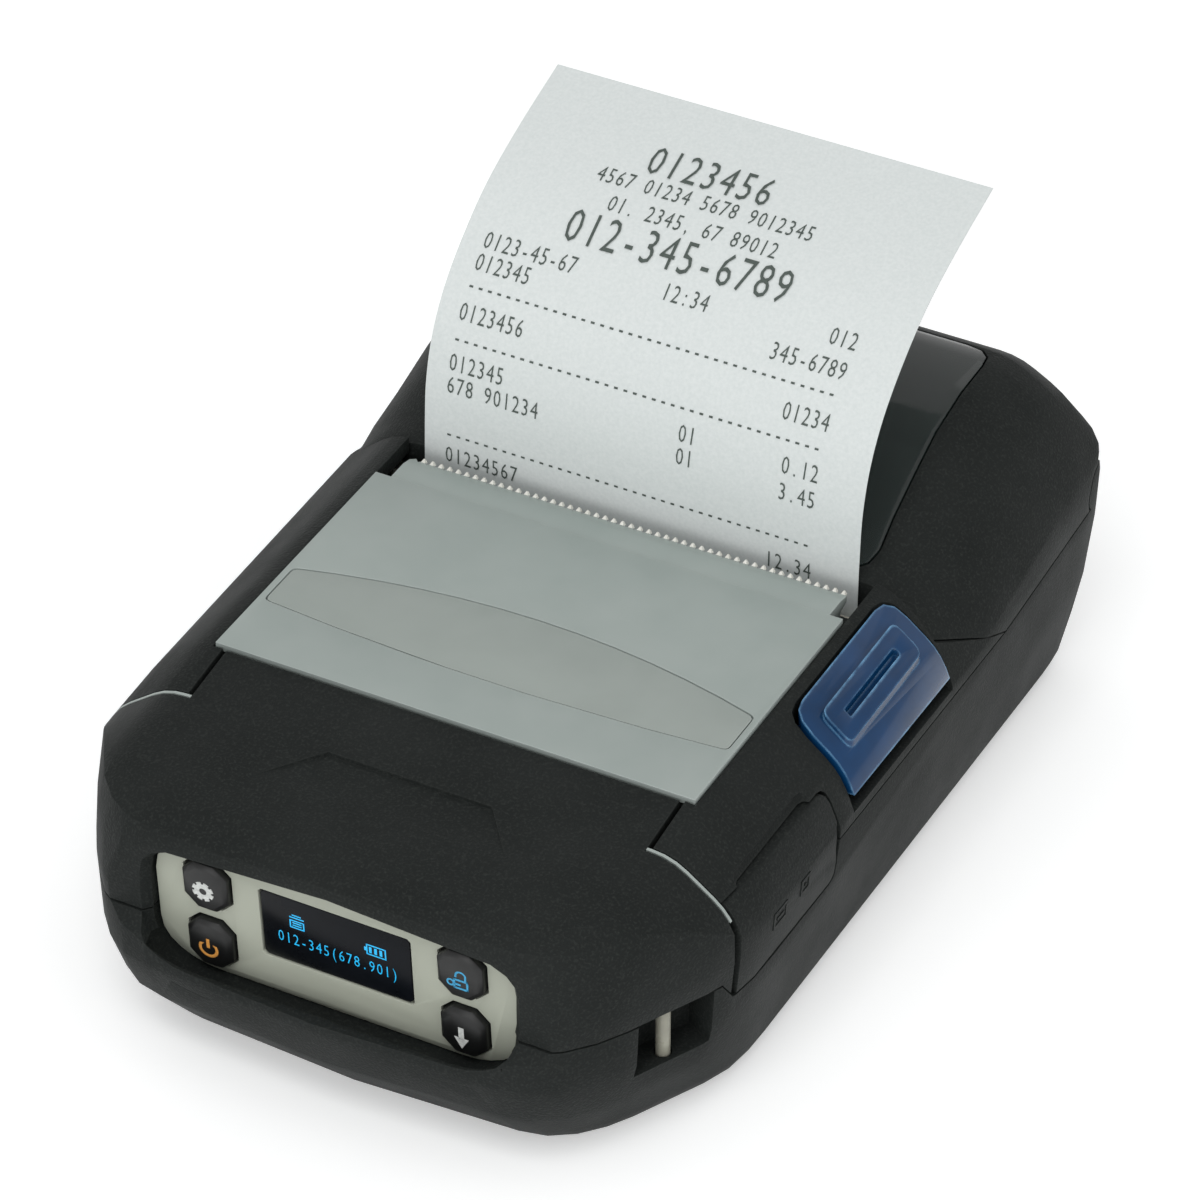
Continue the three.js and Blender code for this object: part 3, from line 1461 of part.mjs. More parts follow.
const panel = new THREE.Group();
panel.rotation.x = Math.PI / 2 + panelTilt;
panel.position.set(0, front + panelInset, panelCentreHeight);
printer.add(panel);
add('control_bezel', panelGrey, controlBezel(), panel);
add('display_glass', displayBlack, displayGlass(), panel);
add('display_module', darkSteel, displayModule(), panel);
add('keypad_board', boardGreen, keypadBoard(), panel);
for (const [name, place] of Object.entries(buttonPlaces)) {
  add(name, buttonRubber, panelButton(place), panel);
}

add('latch_button', latchBlue, latchButton());
add('latch_hook', darkSteel, latchHook());
add('latch_spring', steel, latchSpring());
add('port_door', rubberBlack, portDoor());
add('port_housing', plasticBlack, portHousing());
add('usb_socket', steel, usbSocket());
add('power_socket', plasticBlack, powerSocket());
for (const [name, sign] of [['strap_pin_left', -1], ['strap_pin_right', 1]]) {
  const low = strapFloor - strapPinSocket + clearance;
  add(name, beige, cylinderZ(strapPinRadius, low, hoodSeamHeight - bite, ...strapPinAt(sign)));
}

add('lid_shell', rubberBlack, lidShell());
add('lid_window', smoked, lidWindow());
add('hinge_pin', steel, hingePin());
add('platen_bracket', steel, platenBracket());
add('platen_bushing_left', nylon, platenBushing(-1));
add('platen_bushing_right', nylon, platenBushing(1));
add('platen_shaft', steel, platenShaft());
add('platen_roller', platenRubber, platenRoller());
add('platen_gear', nylon, platenGear());

add('print_frame', darkSteel, printFrame());
add('idler_gear', nylon, idlerGear());
add('stepper_motor', steel, stepperMotor());
add('motor_pinion', brass, motorPinion());
add('print_head', ceramic, printHead());
add('head_heatsink', aluminium, headHeatsink());
add('head_spring_left', steel, headSpring(-1));
add('head_spring_right', steel, headSpring(1));
add('frame_screw_left', darkSteel, frameScrew(-frameScrewX));
add('frame_screw_right', darkSteel, frameScrew(frameScrewX));

add('paper_tray', plasticBlack, paperTray());
add('paper_roll', paperWhite, paperRoll());
add('roll_core', cardboard, rollCore());
add('paper_web', paperWhite, paperWeb());

add('main_board', boardGreen, box(-boardHalf, boardHalf, boardFront, boardRear,
  boardTop - boardThickness, boardTop));
add('battery_pack', plasticBlack, box(-batteryHalf, batteryHalf, batteryFront, batteryRear,
  standoff, standoff + batteryHeight));
add('battery_latch', plasticBlack, box(-batteryLatchHalf, batteryLatchHalf,
  batteryLatchFront, batteryLatchRear, standoff, standoff + batteryLatchHeight));
screwPlaces.forEach(([x, y], i) => {
  add(`case_screw_${i + 1}`, darkSteel, screw(x, y, screwRecess, screwLength));
});

export default printer;
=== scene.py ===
# Portable receipt printer: finishes, small details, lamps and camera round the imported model
import json
import math

import bpy
from mathutils import Matrix, Vector

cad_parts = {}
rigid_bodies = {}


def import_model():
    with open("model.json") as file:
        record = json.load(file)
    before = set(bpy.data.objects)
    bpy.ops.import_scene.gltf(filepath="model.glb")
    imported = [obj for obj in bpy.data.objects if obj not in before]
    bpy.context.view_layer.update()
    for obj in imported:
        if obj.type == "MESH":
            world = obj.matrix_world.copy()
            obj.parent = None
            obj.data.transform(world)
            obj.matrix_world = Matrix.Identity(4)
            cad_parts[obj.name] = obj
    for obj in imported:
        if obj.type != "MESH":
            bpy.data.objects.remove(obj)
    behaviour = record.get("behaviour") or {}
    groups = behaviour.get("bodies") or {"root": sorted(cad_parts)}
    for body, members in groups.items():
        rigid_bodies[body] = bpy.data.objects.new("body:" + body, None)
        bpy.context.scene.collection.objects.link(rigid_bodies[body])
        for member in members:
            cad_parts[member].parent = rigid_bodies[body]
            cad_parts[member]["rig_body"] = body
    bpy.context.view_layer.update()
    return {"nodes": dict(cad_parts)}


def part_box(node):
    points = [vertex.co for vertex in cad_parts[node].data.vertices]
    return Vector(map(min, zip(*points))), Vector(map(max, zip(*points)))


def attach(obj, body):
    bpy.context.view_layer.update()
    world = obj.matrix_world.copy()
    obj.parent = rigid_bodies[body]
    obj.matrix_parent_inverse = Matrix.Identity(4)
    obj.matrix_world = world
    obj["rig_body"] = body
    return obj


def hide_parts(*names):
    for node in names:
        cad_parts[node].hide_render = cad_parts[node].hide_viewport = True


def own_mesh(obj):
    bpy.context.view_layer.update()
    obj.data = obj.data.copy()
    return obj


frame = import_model()
nodes = frame["nodes"]
mm = 0.001


# Working with objects
def takeUp(piece):
    bpy.ops.object.select_all(action="DESELECT")
    piece.select_set(True)
    bpy.context.view_layer.objects.active = piece


def settle(piece, place=None):
    # Puts the object's place into its mesh, so that the object sits at the origin
    if place is not None:
        piece.matrix_basis = place @ piece.matrix_basis
    takeUp(piece)
    bpy.ops.object.transform_apply(location=True, rotation=True, scale=True)


def named(name, finish):
    piece = bpy.context.object
    piece.name = piece.data.name = name
    piece.data.materials.clear()
    piece.data.materials.append(finish)
    return piece


def joined(pieces):
    takeUp(pieces[0])
    for piece in pieces[1:]:
        piece.select_set(True)
    if len(pieces) > 1:
        bpy.ops.object.join()
    return bpy.context.object


def pickFaces(piece, isPicked):
    # Leaves the piece in edit mode with only the faces selected that the test picks
    takeUp(piece)
    bpy.context.tool_settings.mesh_select_mode = (False, False, True)
    bpy.ops.object.mode_set(mode="EDIT")
    bpy.ops.mesh.select_all(action="DESELECT")
    bpy.ops.object.mode_set(mode="OBJECT")
    for polygon in piece.data.polygons:
        polygon.select = isPicked(polygon)
    bpy.ops.object.mode_set(mode="EDIT")


def addModifier(piece, kind, settings):
    takeUp(piece)
    modifier = piece.modifiers.new(kind.lower(), kind)
    for key, value in settings.items():
        setattr(modifier, key, value)
    bpy.ops.object.modifier_apply(modifier=modifier.name)


# Working with materials
def linear(hexColour):
    shares = [int(hexColour[i:i + 2], 16) / 255 for i in (1, 3, 5)]
    return [s / 12.92 if s <= 0.04045 else ((s + 0.055) / 1.055) ** 2.4 for s in shares] + [1]


def addNode(tree, kind, settings=None, links=None):
    node = tree.nodes.new(kind)
    for key, value in (settings or {}).items():
        if key in node.inputs:
            node.inputs[key].default_value = value
        else:
            setattr(node, key, value)
    for key, socket in (links or {}).items():
        tree.links.new(socket, node.inputs[key])
    return node


def startFinish(name, colour, roughness, metallic=0.0, extras=None):
    material = bpy.data.materials.new(name)
    material.use_nodes = True
    tree = material.node_tree
    tree.nodes.clear()
    shader = addNode(tree, "ShaderNodeBsdfPrincipled", {
        "Base Color": linear(colour), "Roughness": roughness, "Metallic": metallic, **(extras or {})})
    addNode(tree, "ShaderNodeOutputMaterial", links={"Surface": shader.outputs["BSDF"]})
    place = addNode(tree, "ShaderNodeTexCoord").outputs["Object"]
    return material, tree, shader, place


def noiseAt(tree, place, sizeMm, detail=3.0):
    return addNode(tree, "ShaderNodeTexNoise", {"Scale": 1 / (sizeMm * mm), "Detail": detail},
                   {"Vector": place}).outputs["Fac"]


def varied(tree, factor, low, high, fromLow=0.3, fromHigh=0.7):
    # Noise keeps mostly between 0.3 and 0.7, which is stretched from low to high
    return addNode(tree, "ShaderNodeMapRange", {
        "From Min": fromLow, "From Max": fromHigh, "To Min": low, "To Max": high},
        {"Value": factor}).outputs["Result"]


def blended(tree, factor, first, second):
    # First and second are hex colours or sockets
    node = addNode(tree, "ShaderNodeMixRGB", links={"Fac": factor})
    for key, colour in (("Color1", first), ("Color2", second)):
        if isinstance(colour, str):
            node.inputs[key].default_value = linear(colour)
        else:
            tree.links.new(colour, node.inputs[key])
    return node.outputs["Color"]


def edgeMask(tree, radiusMm, low=0.004, high=0.12):
    # High where the surface turns within the radius, as along a worn edge and along a painted edge
    # highlight. Low and high say how far the product of plain and rounded normal falls short of 1 where
    # the paler edge begins and is full.
    rounded = addNode(tree, "ShaderNodeBevel", {"samples": 4, "Radius": radiusMm * mm})
    plain = addNode(tree, "ShaderNodeNewGeometry")
    dot = addNode(tree, "ShaderNodeVectorMath", {"operation": "DOT_PRODUCT"})
    tree.links.new(rounded.outputs["Normal"], dot.inputs[0])
    tree.links.new(plain.outputs["Normal"], dot.inputs[1])
    return addNode(tree, "ShaderNodeMapRange", {
        "From Min": 1 - low, "From Max": 1 - high, "To Min": 0.0, "To Max": 1.0},
        {"Value": dot.outputs["Value"]}).outputs["Result"]


# How edge wear, painted edge highlights and specks lie on the grained finishes: the paler edges come in
# patches of a few millimetres
usual = {"wearAndHighlightMm": 0.5, "wearAndHighlightShare": 0.6, "wearAndHighlightLeast": 0.15, "patchMm": 2.5,
         "speckFrom": 0.5, "speckTo": 0.75}


def grainedFinish(name, look):
    # Moulded, painted or cast surfaces: mottled colour, uneven gloss, grain, edges paler where worn and,
    # on the latch and keys, painted paler as a highlight
    material, tree, shader, place = startFinish(
        name, look["colour"], look["gloss"][0], look.get("metallic", 0.0), look.get("extras"))
    broad = noiseAt(tree, place, look["mottleMm"])
    colour = blended(tree, varied(tree, broad, 0, 1), look["colour"], look["shade"])
    if "wearAndHighlight" in look:
        # Paler edges in patches: wear on most finishes; on the latch and the keys a painted highlight
        mask = addNode(tree, "ShaderNodeMath", {"operation": "MULTIPLY"})
        tree.links.new(edgeMask(tree, look.get("wearAndHighlightMm", usual["wearAndHighlightMm"])), mask.inputs[0])
        tree.links.new(varied(tree, noiseAt(tree, place, usual["patchMm"]), usual["wearAndHighlightLeast"],
                              look.get("wearAndHighlightShare", usual["wearAndHighlightShare"])), mask.inputs[1])
        colour = blended(tree, mask.outputs["Value"], colour, look["wearAndHighlight"])
    fine = noiseAt(tree, place, look["grainMm"], detail=2.0)
    if "speck" in look:
        colour = blended(tree, varied(tree, fine, 0, 1, usual["speckFrom"], usual["speckTo"]), colour,
                         look["speck"])
    tree.links.new(colour, shader.inputs["Base Color"])
    tree.links.new(varied(tree, broad, *look["gloss"]), shader.inputs["Roughness"])
    bump = addNode(tree, "ShaderNodeBump", {
        "Strength": look["grainShare"], "Distance": look["grainDepthMm"] * mm}, {"Height": fine})
    tree.links.new(bump.outputs["Normal"], shader.inputs["Normal"])
    return material


def brushedFinish(name, look):
    # Drawn, rolled or turned metal: fine lines along one axis, and faint smears of dull gloss
    material, tree, shader, place = startFinish(
        name, look["colour"], look["gloss"][0], look.get("metallic", 1.0))
    # A line is 25 times as long as it is wide
    stretch = [1, 1, 1]
    stretch["XYZ".index(look["along"])] = 1 / 25
    turned = addNode(tree, "ShaderNodeMapping", {"Scale": stretch}, {"Vector": place})
    lines = noiseAt(tree, turned.outputs["Vector"], look["lineMm"], detail=2.0)
    broad = noiseAt(tree, place, look["mottleMm"])
    tree.links.new(blended(tree, varied(tree, broad, 0, 1), look["colour"], look["shade"]),
                   shader.inputs["Base Color"])
    tree.links.new(varied(tree, lines, *look["gloss"]), shader.inputs["Roughness"])
    bump = addNode(tree, "ShaderNodeBump", {
        "Strength": look["lineShare"], "Distance": look["lineDepthMm"] * mm}, {"Height": lines})
    tree.links.new(bump.outputs["Normal"], shader.inputs["Normal"])
    return material


finishes = {
    # Soft-touch coating on ABS: matt charcoal, a grain drawn at 0.45 mm, edges rubbed paler
    "softTouchAbs": grainedFinish("softTouchAbs", {
        "colour": "#202322", "shade": "#1c1f1e", "wearAndHighlight": "#343735", "mottleMm": 16, "grainMm": 0.45,
        "grainShare": 0.9, "grainDepthMm": 0.14, "speck": "#2d302e", "gloss": (0.55, 0.65),
        "wearAndHighlightMm": 0.5, "wearAndHighlightShare": 0.5, "extras": {"Specular IOR Level": 0.13}}),
    # Bare spark-textured ABS of the inner mouldings, slightly shinier
    "mouldedAbs": grainedFinish("mouldedAbs", {
        "colour": "#202221", "shade": "#1c1e1d", "wearAndHighlight": "#3a3c3a", "mottleMm": 8, "grainMm": 0.3,
        "grainShare": 0.3, "grainDepthMm": 0.04, "gloss": (0.42, 0.55),
        "extras": {"Specular IOR Level": 0.35}}),
    # Silver paint on plastic: fine flakes, almost even, a dull sheen
    "silverPaint": grainedFinish("silverPaint", {
        "colour": "#a6afab", "shade": "#9fa9a5", "wearAndHighlight": "#bfc6c3", "mottleMm": 14, "grainMm": 0.3,
        "grainShare": 0.22, "grainDepthMm": 0.02, "gloss": (0.42, 0.5), "metallic": 0.25}),
    # Polyester overlay of the badge, printed warm grey
    "badgePolyester": grainedFinish("badgePolyester", {
        "colour": "#9ba39e", "shade": "#969e99", "wearAndHighlight": "#b4bab6", "mottleMm": 10, "grainMm": 0.4,
        "grainShare": 0.15, "grainDepthMm": 0.02, "gloss": (0.34, 0.42)}),
    # Matt printed film over the panel moulding
    "panelFilm": grainedFinish("panelFilm", {
        "colour": "#b0b4a6", "shade": "#aaaea0", "wearAndHighlight": "#bcbfb3", "mottleMm": 11, "grainMm": 0.35,
        "grainShare": 0.2, "grainDepthMm": 0.03, "gloss": (0.45, 0.55)}),
    # Silicone keypad: deep black, smooth, its edges painted paler as a soft sheen
    "keySilicone": grainedFinish("keySilicone", {
        "colour": "#141515", "shade": "#0f1010", "wearAndHighlight": "#2e3030", "mottleMm": 3, "grainMm": 0.25,
        "grainShare": 0.2, "grainDepthMm": 0.02, "gloss": (0.38, 0.5)}),
    # Blue polycarbonate of the latch, polished; its edges are painted paler as a highlight
    "glossBlue": grainedFinish("glossBlue", {
        "colour": "#0c3c68", "shade": "#083156", "wearAndHighlight": "#78afd8", "mottleMm": 9, "grainMm": 0.8,
        "grainShare": 0.04, "grainDepthMm": 0.02, "gloss": (0.12, 0.18), "wearAndHighlightMm": 0.6,
        "wearAndHighlightShare": 0.9, "extras": {"Specular IOR Level": 0.3, "Coat Weight": 0.15,
                                     "Coat Roughness": 0.03}}),
    # Ground silicone rubber of the platen
    "groundRubber": grainedFinish("groundRubber", {
        "colour": "#2b2c2e", "shade": "#242527", "mottleMm": 5, "grainMm": 0.25,
        "grainShare": 0.5, "grainDepthMm": 0.04, "gloss": (0.7, 0.85)}),
    # Natural acetal of gears and bushings, waxy and slightly translucent
    "naturalAcetal": grainedFinish("naturalAcetal", {
        "colour": "#e2dfd2", "shade": "#d9d5c6", "mottleMm": 4, "grainMm": 0.3,
        "grainShare": 0.1, "grainDepthMm": 0.02, "gloss": (0.38, 0.48),
        "extras": {"Subsurface Weight": 0.15, "Subsurface Radius": (0.002, 0.0018, 0.0014)}}),
    # Glazed alumina substrate of the print head
    "glazedAlumina": grainedFinish("glazedAlumina", {
        "colour": "#e0dccf", "shade": "#d6d1c2", "mottleMm": 5, "grainMm": 0.3,
        "grainShare": 0.06, "grainDepthMm": 0.02, "gloss": (0.2, 0.3)}),
    # Beige moulding of the strap posts
    "beigeAbs": grainedFinish("beigeAbs", {
        "colour": "#a6a596", "shade": "#98978a", "wearAndHighlight": "#c4c3b8", "mottleMm": 3, "grainMm": 0.3,
        "grainShare": 0.15, "grainDepthMm": 0.02, "gloss": (0.25, 0.38)}),
    # Grey chipboard of the core, with fibres
    "rollCard": grainedFinish("rollCard", {
        "colour": "#b39a74", "shade": "#9c8461", "mottleMm": 1.5, "grainMm": 0.3,
        "grainShare": 0.6, "grainDepthMm": 0.08, "gloss": (0.85, 0.95)}),
    # Rolled bright steel
    "brightSteel": brushedFinish("brightSteel", {
        "colour": "#c4c6c7", "shade": "#b2b5b6", "along": "X", "lineMm": 0.3, "mottleMm": 7,
        "lineShare": 0.2, "lineDepthMm": 0.02, "gloss": (0.22, 0.36)}),
    # Stamped and tumbled steel of the tear teeth, lightened nearly to white as a painted glint
    "steelWithPaintedGlint": brushedFinish("steelWithPaintedGlint", {
        "colour": "#e9e8e0", "shade": "#dcdbd2", "along": "X", "lineMm": 0.3, "mottleMm": 4,
        "lineShare": 0.15, "lineDepthMm": 0.02, "gloss": (0.35, 0.5), "metallic": 0.35}),
    # Zinc plating dipped black, over rolled steel
    "blackZinc": brushedFinish("blackZinc", {
        "colour": "#6d7072", "shade": "#5c5f61", "along": "Y", "lineMm": 0.35, "mottleMm": 5,
        "lineShare": 0.2, "lineDepthMm": 0.02, "gloss": (0.32, 0.48)}),
    # Extruded aluminium of the heat sink, lines along its length
    "extrudedAluminium": brushedFinish("extrudedAluminium", {
        "colour": "#c6c9cb", "shade": "#b9bcbe", "along": "X", "lineMm": 0.4, "mottleMm": 9,
        "lineShare": 0.35, "lineDepthMm": 0.03, "gloss": (0.3, 0.45)}),
    # Turned brass of the pinion
    "turnedBrass": brushedFinish("turnedBrass", {
        "colour": "#c7a257", "shade": "#b28d45", "along": "Y", "lineMm": 0.25, "mottleMm": 3,
        "lineShare": 0.25, "lineDepthMm": 0.02, "gloss": (0.2, 0.34)}),
}


def smokedAcrylic():
    # Smoke-tinted acrylic: dark green-grey, polished, the roll shows through faintly
    look = {"colour": "#3a4744", "gloss": 0.07, "smearedGloss": 0.175, "smearMm": 12, "through": 0.75,
            "peelMm": 4, "peelShare": 0.03, "peelDepthMm": 0.1}
    material, tree, shader, place = startFinish("smokedAcrylic", look["colour"], look["gloss"], extras={
        "Transmission Weight": look["through"], "IOR": 1.49, "Coat Weight": 0.3, "Coat Roughness": 0.05})
    waves = noiseAt(tree, place, look["peelMm"], detail=1.0)
    bump = addNode(tree, "ShaderNodeBump", {
        "Strength": look["peelShare"], "Distance": look["peelDepthMm"] * mm}, {"Height": waves})
    tree.links.new(bump.outputs["Normal"], shader.inputs["Normal"])
    smears = varied(tree, noiseAt(tree, place, look["smearMm"]), look["gloss"], look["smearedGloss"])
    tree.links.new(smears, shader.inputs["Roughness"])
    return material


def displayPane():
    # Black window film, anti-glare: nearly no sky in it, faint blue-black depth
    look = {"colour": "#0b0d11", "shade": "#12151a", "gloss": (0.22, 0.34), "mottleMm": 8}
    material, tree, shader, place = startFinish("displayPane", look["colour"], look["gloss"][0], extras={
        "Specular IOR Level": 0.12})
    depth = noiseAt(tree, place, look["mottleMm"])
    tree.links.new(blended(tree, varied(tree, depth, 0, 1), look["colour"], look["shade"]),
                   shader.inputs["Base Color"])
    tree.links.new(varied(tree, depth, *look["gloss"]), shader.inputs["Roughness"])
    return material


def thermalPaper(name, ringsAt=None):
    # Coated thermal paper: cool white with faint fibres, and on a roll's ends the wound layers
    look = {"colour": "#dfe4e3", "shade": "#d6dcdb", "gap": "#b3b7b5", "gloss": 0.62, "fibreMm": 0.6,
            "fibreShare": 0.12, "fibreDepthMm": 0.03, "layerMm": 0.45, "waveShare": 0.314,
            "gapFrom": 0.5, "gapTo": 0.9, "gapMost": 0.5}
    material, tree, shader, place = startFinish(name, look["colour"], look["gloss"], extras={
        "Specular IOR Level": 0.35})
    fibres = noiseAt(tree, place, look["fibreMm"], detail=5.0)
    colour = blended(tree, varied(tree, fibres, 0, 1), look["colour"], look["shade"])
    if ringsAt:
        centred = addNode(tree, "ShaderNodeMapping", {"Location": [-c for c in ringsAt]},
                          {"Vector": place}).outputs["Vector"]
        # Real layers are 0.06 mm; they are drawn coarser so that they show. The wave share makes
        # the texture's own scale one ring per layer.
        rings = addNode(tree, "ShaderNodeTexWave", {
            "wave_type": "RINGS", "rings_direction": "X",
            "Scale": look["waveShare"] / (look["layerMm"] * mm),
            "Distortion": 1.2, "Detail": 2.0, "Detail Scale": 1.5}, {"Vector": centred}).outputs["Fac"]
        gaps = varied(tree, rings, 0, look["gapMost"], look["gapFrom"], look["gapTo"])
        colour = blended(tree, gaps, colour, look["gap"])
    tree.links.new(colour, shader.inputs["Base Color"])
    bump = addNode(tree, "ShaderNodeBump", {
        "Strength": look["fibreShare"], "Distance": look["fibreDepthMm"] * mm}, {"Height": fibres})
    tree.links.new(bump.outputs["Normal"], shader.inputs["Normal"])
    return material


def solderMask():
    # Green solder mask over etched copper: straight tracks stand a little proud
    look = {"colour": "#1c5238", "track": "#2c7350", "gloss": 0.32, "courseMm": 6.4, "trackShare": 0.03,
            "bumpShare": 0.3, "trackDepthMm": 0.05}
    material, tree, shader, place = startFinish("solderMask", look["colour"], look["gloss"])
    tracks = addNode(tree, "ShaderNodeTexBrick", {
        "Scale": 1 / (look["courseMm"] * mm), "Mortar Size": look["trackShare"], "Color1": (0, 0, 0, 1),
        "Color2": (0.1, 0.1, 0.1, 1), "Mortar": (1, 1, 1, 1)}, {"Vector": place}).outputs["Color"]
    tree.links.new(blended(tree, tracks, look["colour"], look["track"]), shader.inputs["Base Color"])
    bump = addNode(tree, "ShaderNodeBump", {
        "Strength": look["bumpShare"], "Distance": look["trackDepthMm"] * mm}, {"Height": tracks})
    tree.links.new(bump.outputs["Normal"], shader.inputs["Normal"])
    return material


def printedInk(name, colour, roughness=0.6, glow=0.0):
    # A thin print: nearly flat, slightly uneven where the ink or the heat took less
    look = {"patchMm": 0.5, "weak": 0.85, "strong": 1.15}
    material, tree, shader, place = startFinish(name, colour, roughness, extras={
        "Emission Color": linear(colour), "Emission Strength": glow})
    patches = addNode(tree, "ShaderNodeHueSaturation", {"Color": linear(colour)}, {
        "Value": varied(tree, noiseAt(tree, place, look["patchMm"]), look["weak"], look["strong"])})
    tree.links.new(patches.outputs["Color"], shader.inputs["Base Color"])
    return material


rollLow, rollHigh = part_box("paper_roll")
rollCentre = (rollLow + rollHigh) / 2
finishes.update({
    "smokedAcrylic": smokedAcrylic(),
    "displayPane": displayPane(),
    "thermalPaper": thermalPaper("thermalPaper"),
    "woundPaper": thermalPaper("woundPaper", rollCentre),
    "solderMask": solderMask(),
    "receiptInk": printedInk("receiptInk", "#4c5651"),
    "screenCyan": printedInk("screenCyan", "#1ba3d8", 0.3, 0.55),
    "keyWhite": printedInk("keyWhite", "#cfd2cf"),
    "keyOrange": printedInk("keyOrange", "#dd9a48"),
    "keyBlue": printedInk("keyBlue", "#3f9fcc"),
})
print("finishes mixed")

# Which finish each node takes, and the radius in mm of the rounded edges of its copy.
# A node with no radius keeps its own mesh.
dress = {
    "lower_case": ("softTouchAbs", 0.35), "front_hood": ("softTouchAbs", 0.35),
    "upper_case": ("softTouchAbs", 0.35), "lid_shell": ("softTouchAbs", 0.35),
    "port_door": ("softTouchAbs", 0.3), "lid_window": ("smokedAcrylic", 0.2),
    "seam_trim_left": ("silverPaint", None), "seam_trim_right": ("silverPaint", None),
    "top_plate": ("silverPaint", 0.15), "badge_plate": ("badgePolyester", 0.08),
    "tear_bar": ("silverPaint", 0.05), "control_bezel": ("panelFilm", 0.25),
    "display_glass": ("displayPane", 0.05), "display_module": ("blackZinc", None),
    "keypad_board": ("solderMask", None), "button_settings": ("keySilicone", 0.2),
    "button_power": ("keySilicone", 0.2), "button_unlock": ("keySilicone", 0.2),
    "button_feed": ("keySilicone", 0.2), "latch_button": ("glossBlue", 0.3),
    "latch_hook": ("blackZinc", 0.1), "latch_spring": ("brightSteel", None),
    "port_housing": ("mouldedAbs", 0.15), "usb_socket": ("brightSteel", 0.08),
    "power_socket": ("mouldedAbs", 0.08), "strap_pin_left": ("beigeAbs", 0.1),
    "strap_pin_right": ("beigeAbs", 0.1), "hinge_pin": ("brightSteel", None),
    "platen_bracket": ("brightSteel", 0.1), "platen_bushing_left": ("naturalAcetal", 0.1),
    "platen_bushing_right": ("naturalAcetal", 0.1), "platen_shaft": ("brightSteel", 0.1),
    "platen_roller": ("groundRubber", 0.15), "platen_gear": ("naturalAcetal", 0.05),
    "print_frame": ("blackZinc", 0.1), "idler_gear": ("naturalAcetal", 0.05),
    "stepper_motor": ("brightSteel", 0.2), "motor_pinion": ("turnedBrass", 0.05),
    "print_head": ("glazedAlumina", None), "head_heatsink": ("extrudedAluminium", 0.1),
    "head_spring_left": ("brightSteel", None), "head_spring_right": ("brightSteel", None),
    "frame_screw_left": ("blackZinc", 0.1), "frame_screw_right": ("blackZinc", 0.1),
    "paper_tray": ("mouldedAbs", 0.2), "paper_roll": ("woundPaper", 0.1),
    "roll_core": ("rollCard", 0.1), "main_board": ("solderMask", None),
    "battery_pack": ("mouldedAbs", 0.4), "battery_latch": ("mouldedAbs", 0.2),
    "case_screw_1": ("blackZinc", None), "case_screw_2": ("blackZinc", None),
    "case_screw_3": ("blackZinc", None), "case_screw_4": ("blackZinc", None),
    "paper_web": ("thermalPaper", None),
}
rounding = {"weldMm": 0.002, "flatDegrees": 1.5, "edgeDegrees": 38, "smoothDegrees": 34, "segments": 2}


def roundedCopy(name, finish, radiusMm):
    # The node's own shape with its facets welded, its edges rounded and its curves shaded smooth
    source = nodes[name]
    piece = bpy.data.objects.new(name + "_skin", source.data.copy())
    bpy.context.scene.collection.objects.link(piece)
    piece.data.materials.clear()
    piece.data.materials.append(finish)
    takeUp(piece)
    bpy.ops.object.mode_set(mode="EDIT")
    bpy.ops.mesh.select_all(action="SELECT")
    bpy.ops.mesh.remove_doubles(threshold=rounding["weldMm"] * mm)
    bpy.ops.mesh.customdata_custom_splitnormals_clear()
    bpy.ops.mesh.dissolve_limited(angle_limit=math.radians(rounding["flatDegrees"]))
    bpy.ops.object.mode_set(mode="OBJECT")
    if radiusMm:
        addModifier(piece, "BEVEL", {
            "width": radiusMm * mm, "segments": rounding["segments"], "limit_method": "ANGLE",
            "angle_limit": math.radians(rounding["edgeDegrees"]), "use_clamp_overlap": True})
    takeUp(piece)
    bpy.ops.object.shade_smooth_by_angle(angle=math.radians(rounding["smoothDegrees"]))
    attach(piece, source["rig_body"])
    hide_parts(name)
    return piece


skins = {}
for name, (finishName, radiusMm) in dress.items():
    nodes[name].data.materials.clear()
    nodes[name].data.materials.append(finishes[finishName])
    if radiusMm:
        skins[name] = roundedCopy(name, finishes[finishName], radiusMm)

# The hood's lip over the panel, raised a little towards its ends so that the upper keys show whole.
# Per place along the lip: distance from the middle, height of its lower edge, lift, all in mm
lip = {"behind": -76.5, "below": -0.8, "full": 0.7, "fadeEnd": 1.8,
       "places": [(0, 42.8, 0.1), (27.1, 40.8, 0.65), (29.9, 40.0, 0.5), (31.5, 38.2, 0.25),
                  (33.5, 35.4, 0)]}


def raisedLip():
    for vertex in skins["front_hood"].data.vertices:
        x, y, z = abs(vertex.co.x) / mm, vertex.co.y / mm, vertex.co.z / mm
        for (x0, z0, lift0), (x1, z1, lift1) in zip(lip["places"], lip["places"][1:]):
            if y < lip["behind"] and x0 <= x < x1:
                share = (x - x0) / (x1 - x0)
                above = z - (z0 + (z1 - z0) * share)
                fade = min(1, max(0, (lip["fadeEnd"] - above) / (lip["fadeEnd"] - lip["full"])))
                if above > lip["below"]:
                    vertex.co.z += (lift0 + (lift1 - lift0) * share) * fade * mm


raisedLip()

# The lower casing's lip beside the panel, drawn outwards so that the panel's lower corners show round.
# Per place: height, distance of the lip's inner edge from the middle, shift, all in mm
corner = {"inner": -77.3, "front": -78.8, "slant": 1.3, "near": 0.6, "reach": 0.2, "frontShare": 0.65,
          "places": [(23.9, 28.9, 2.1), (24.2, 29.2, 2.1), (25.5, 30.6, 1.2), (27.5, 31.7, 0.3),
                     (28.0, 31.9, 0.15)]}


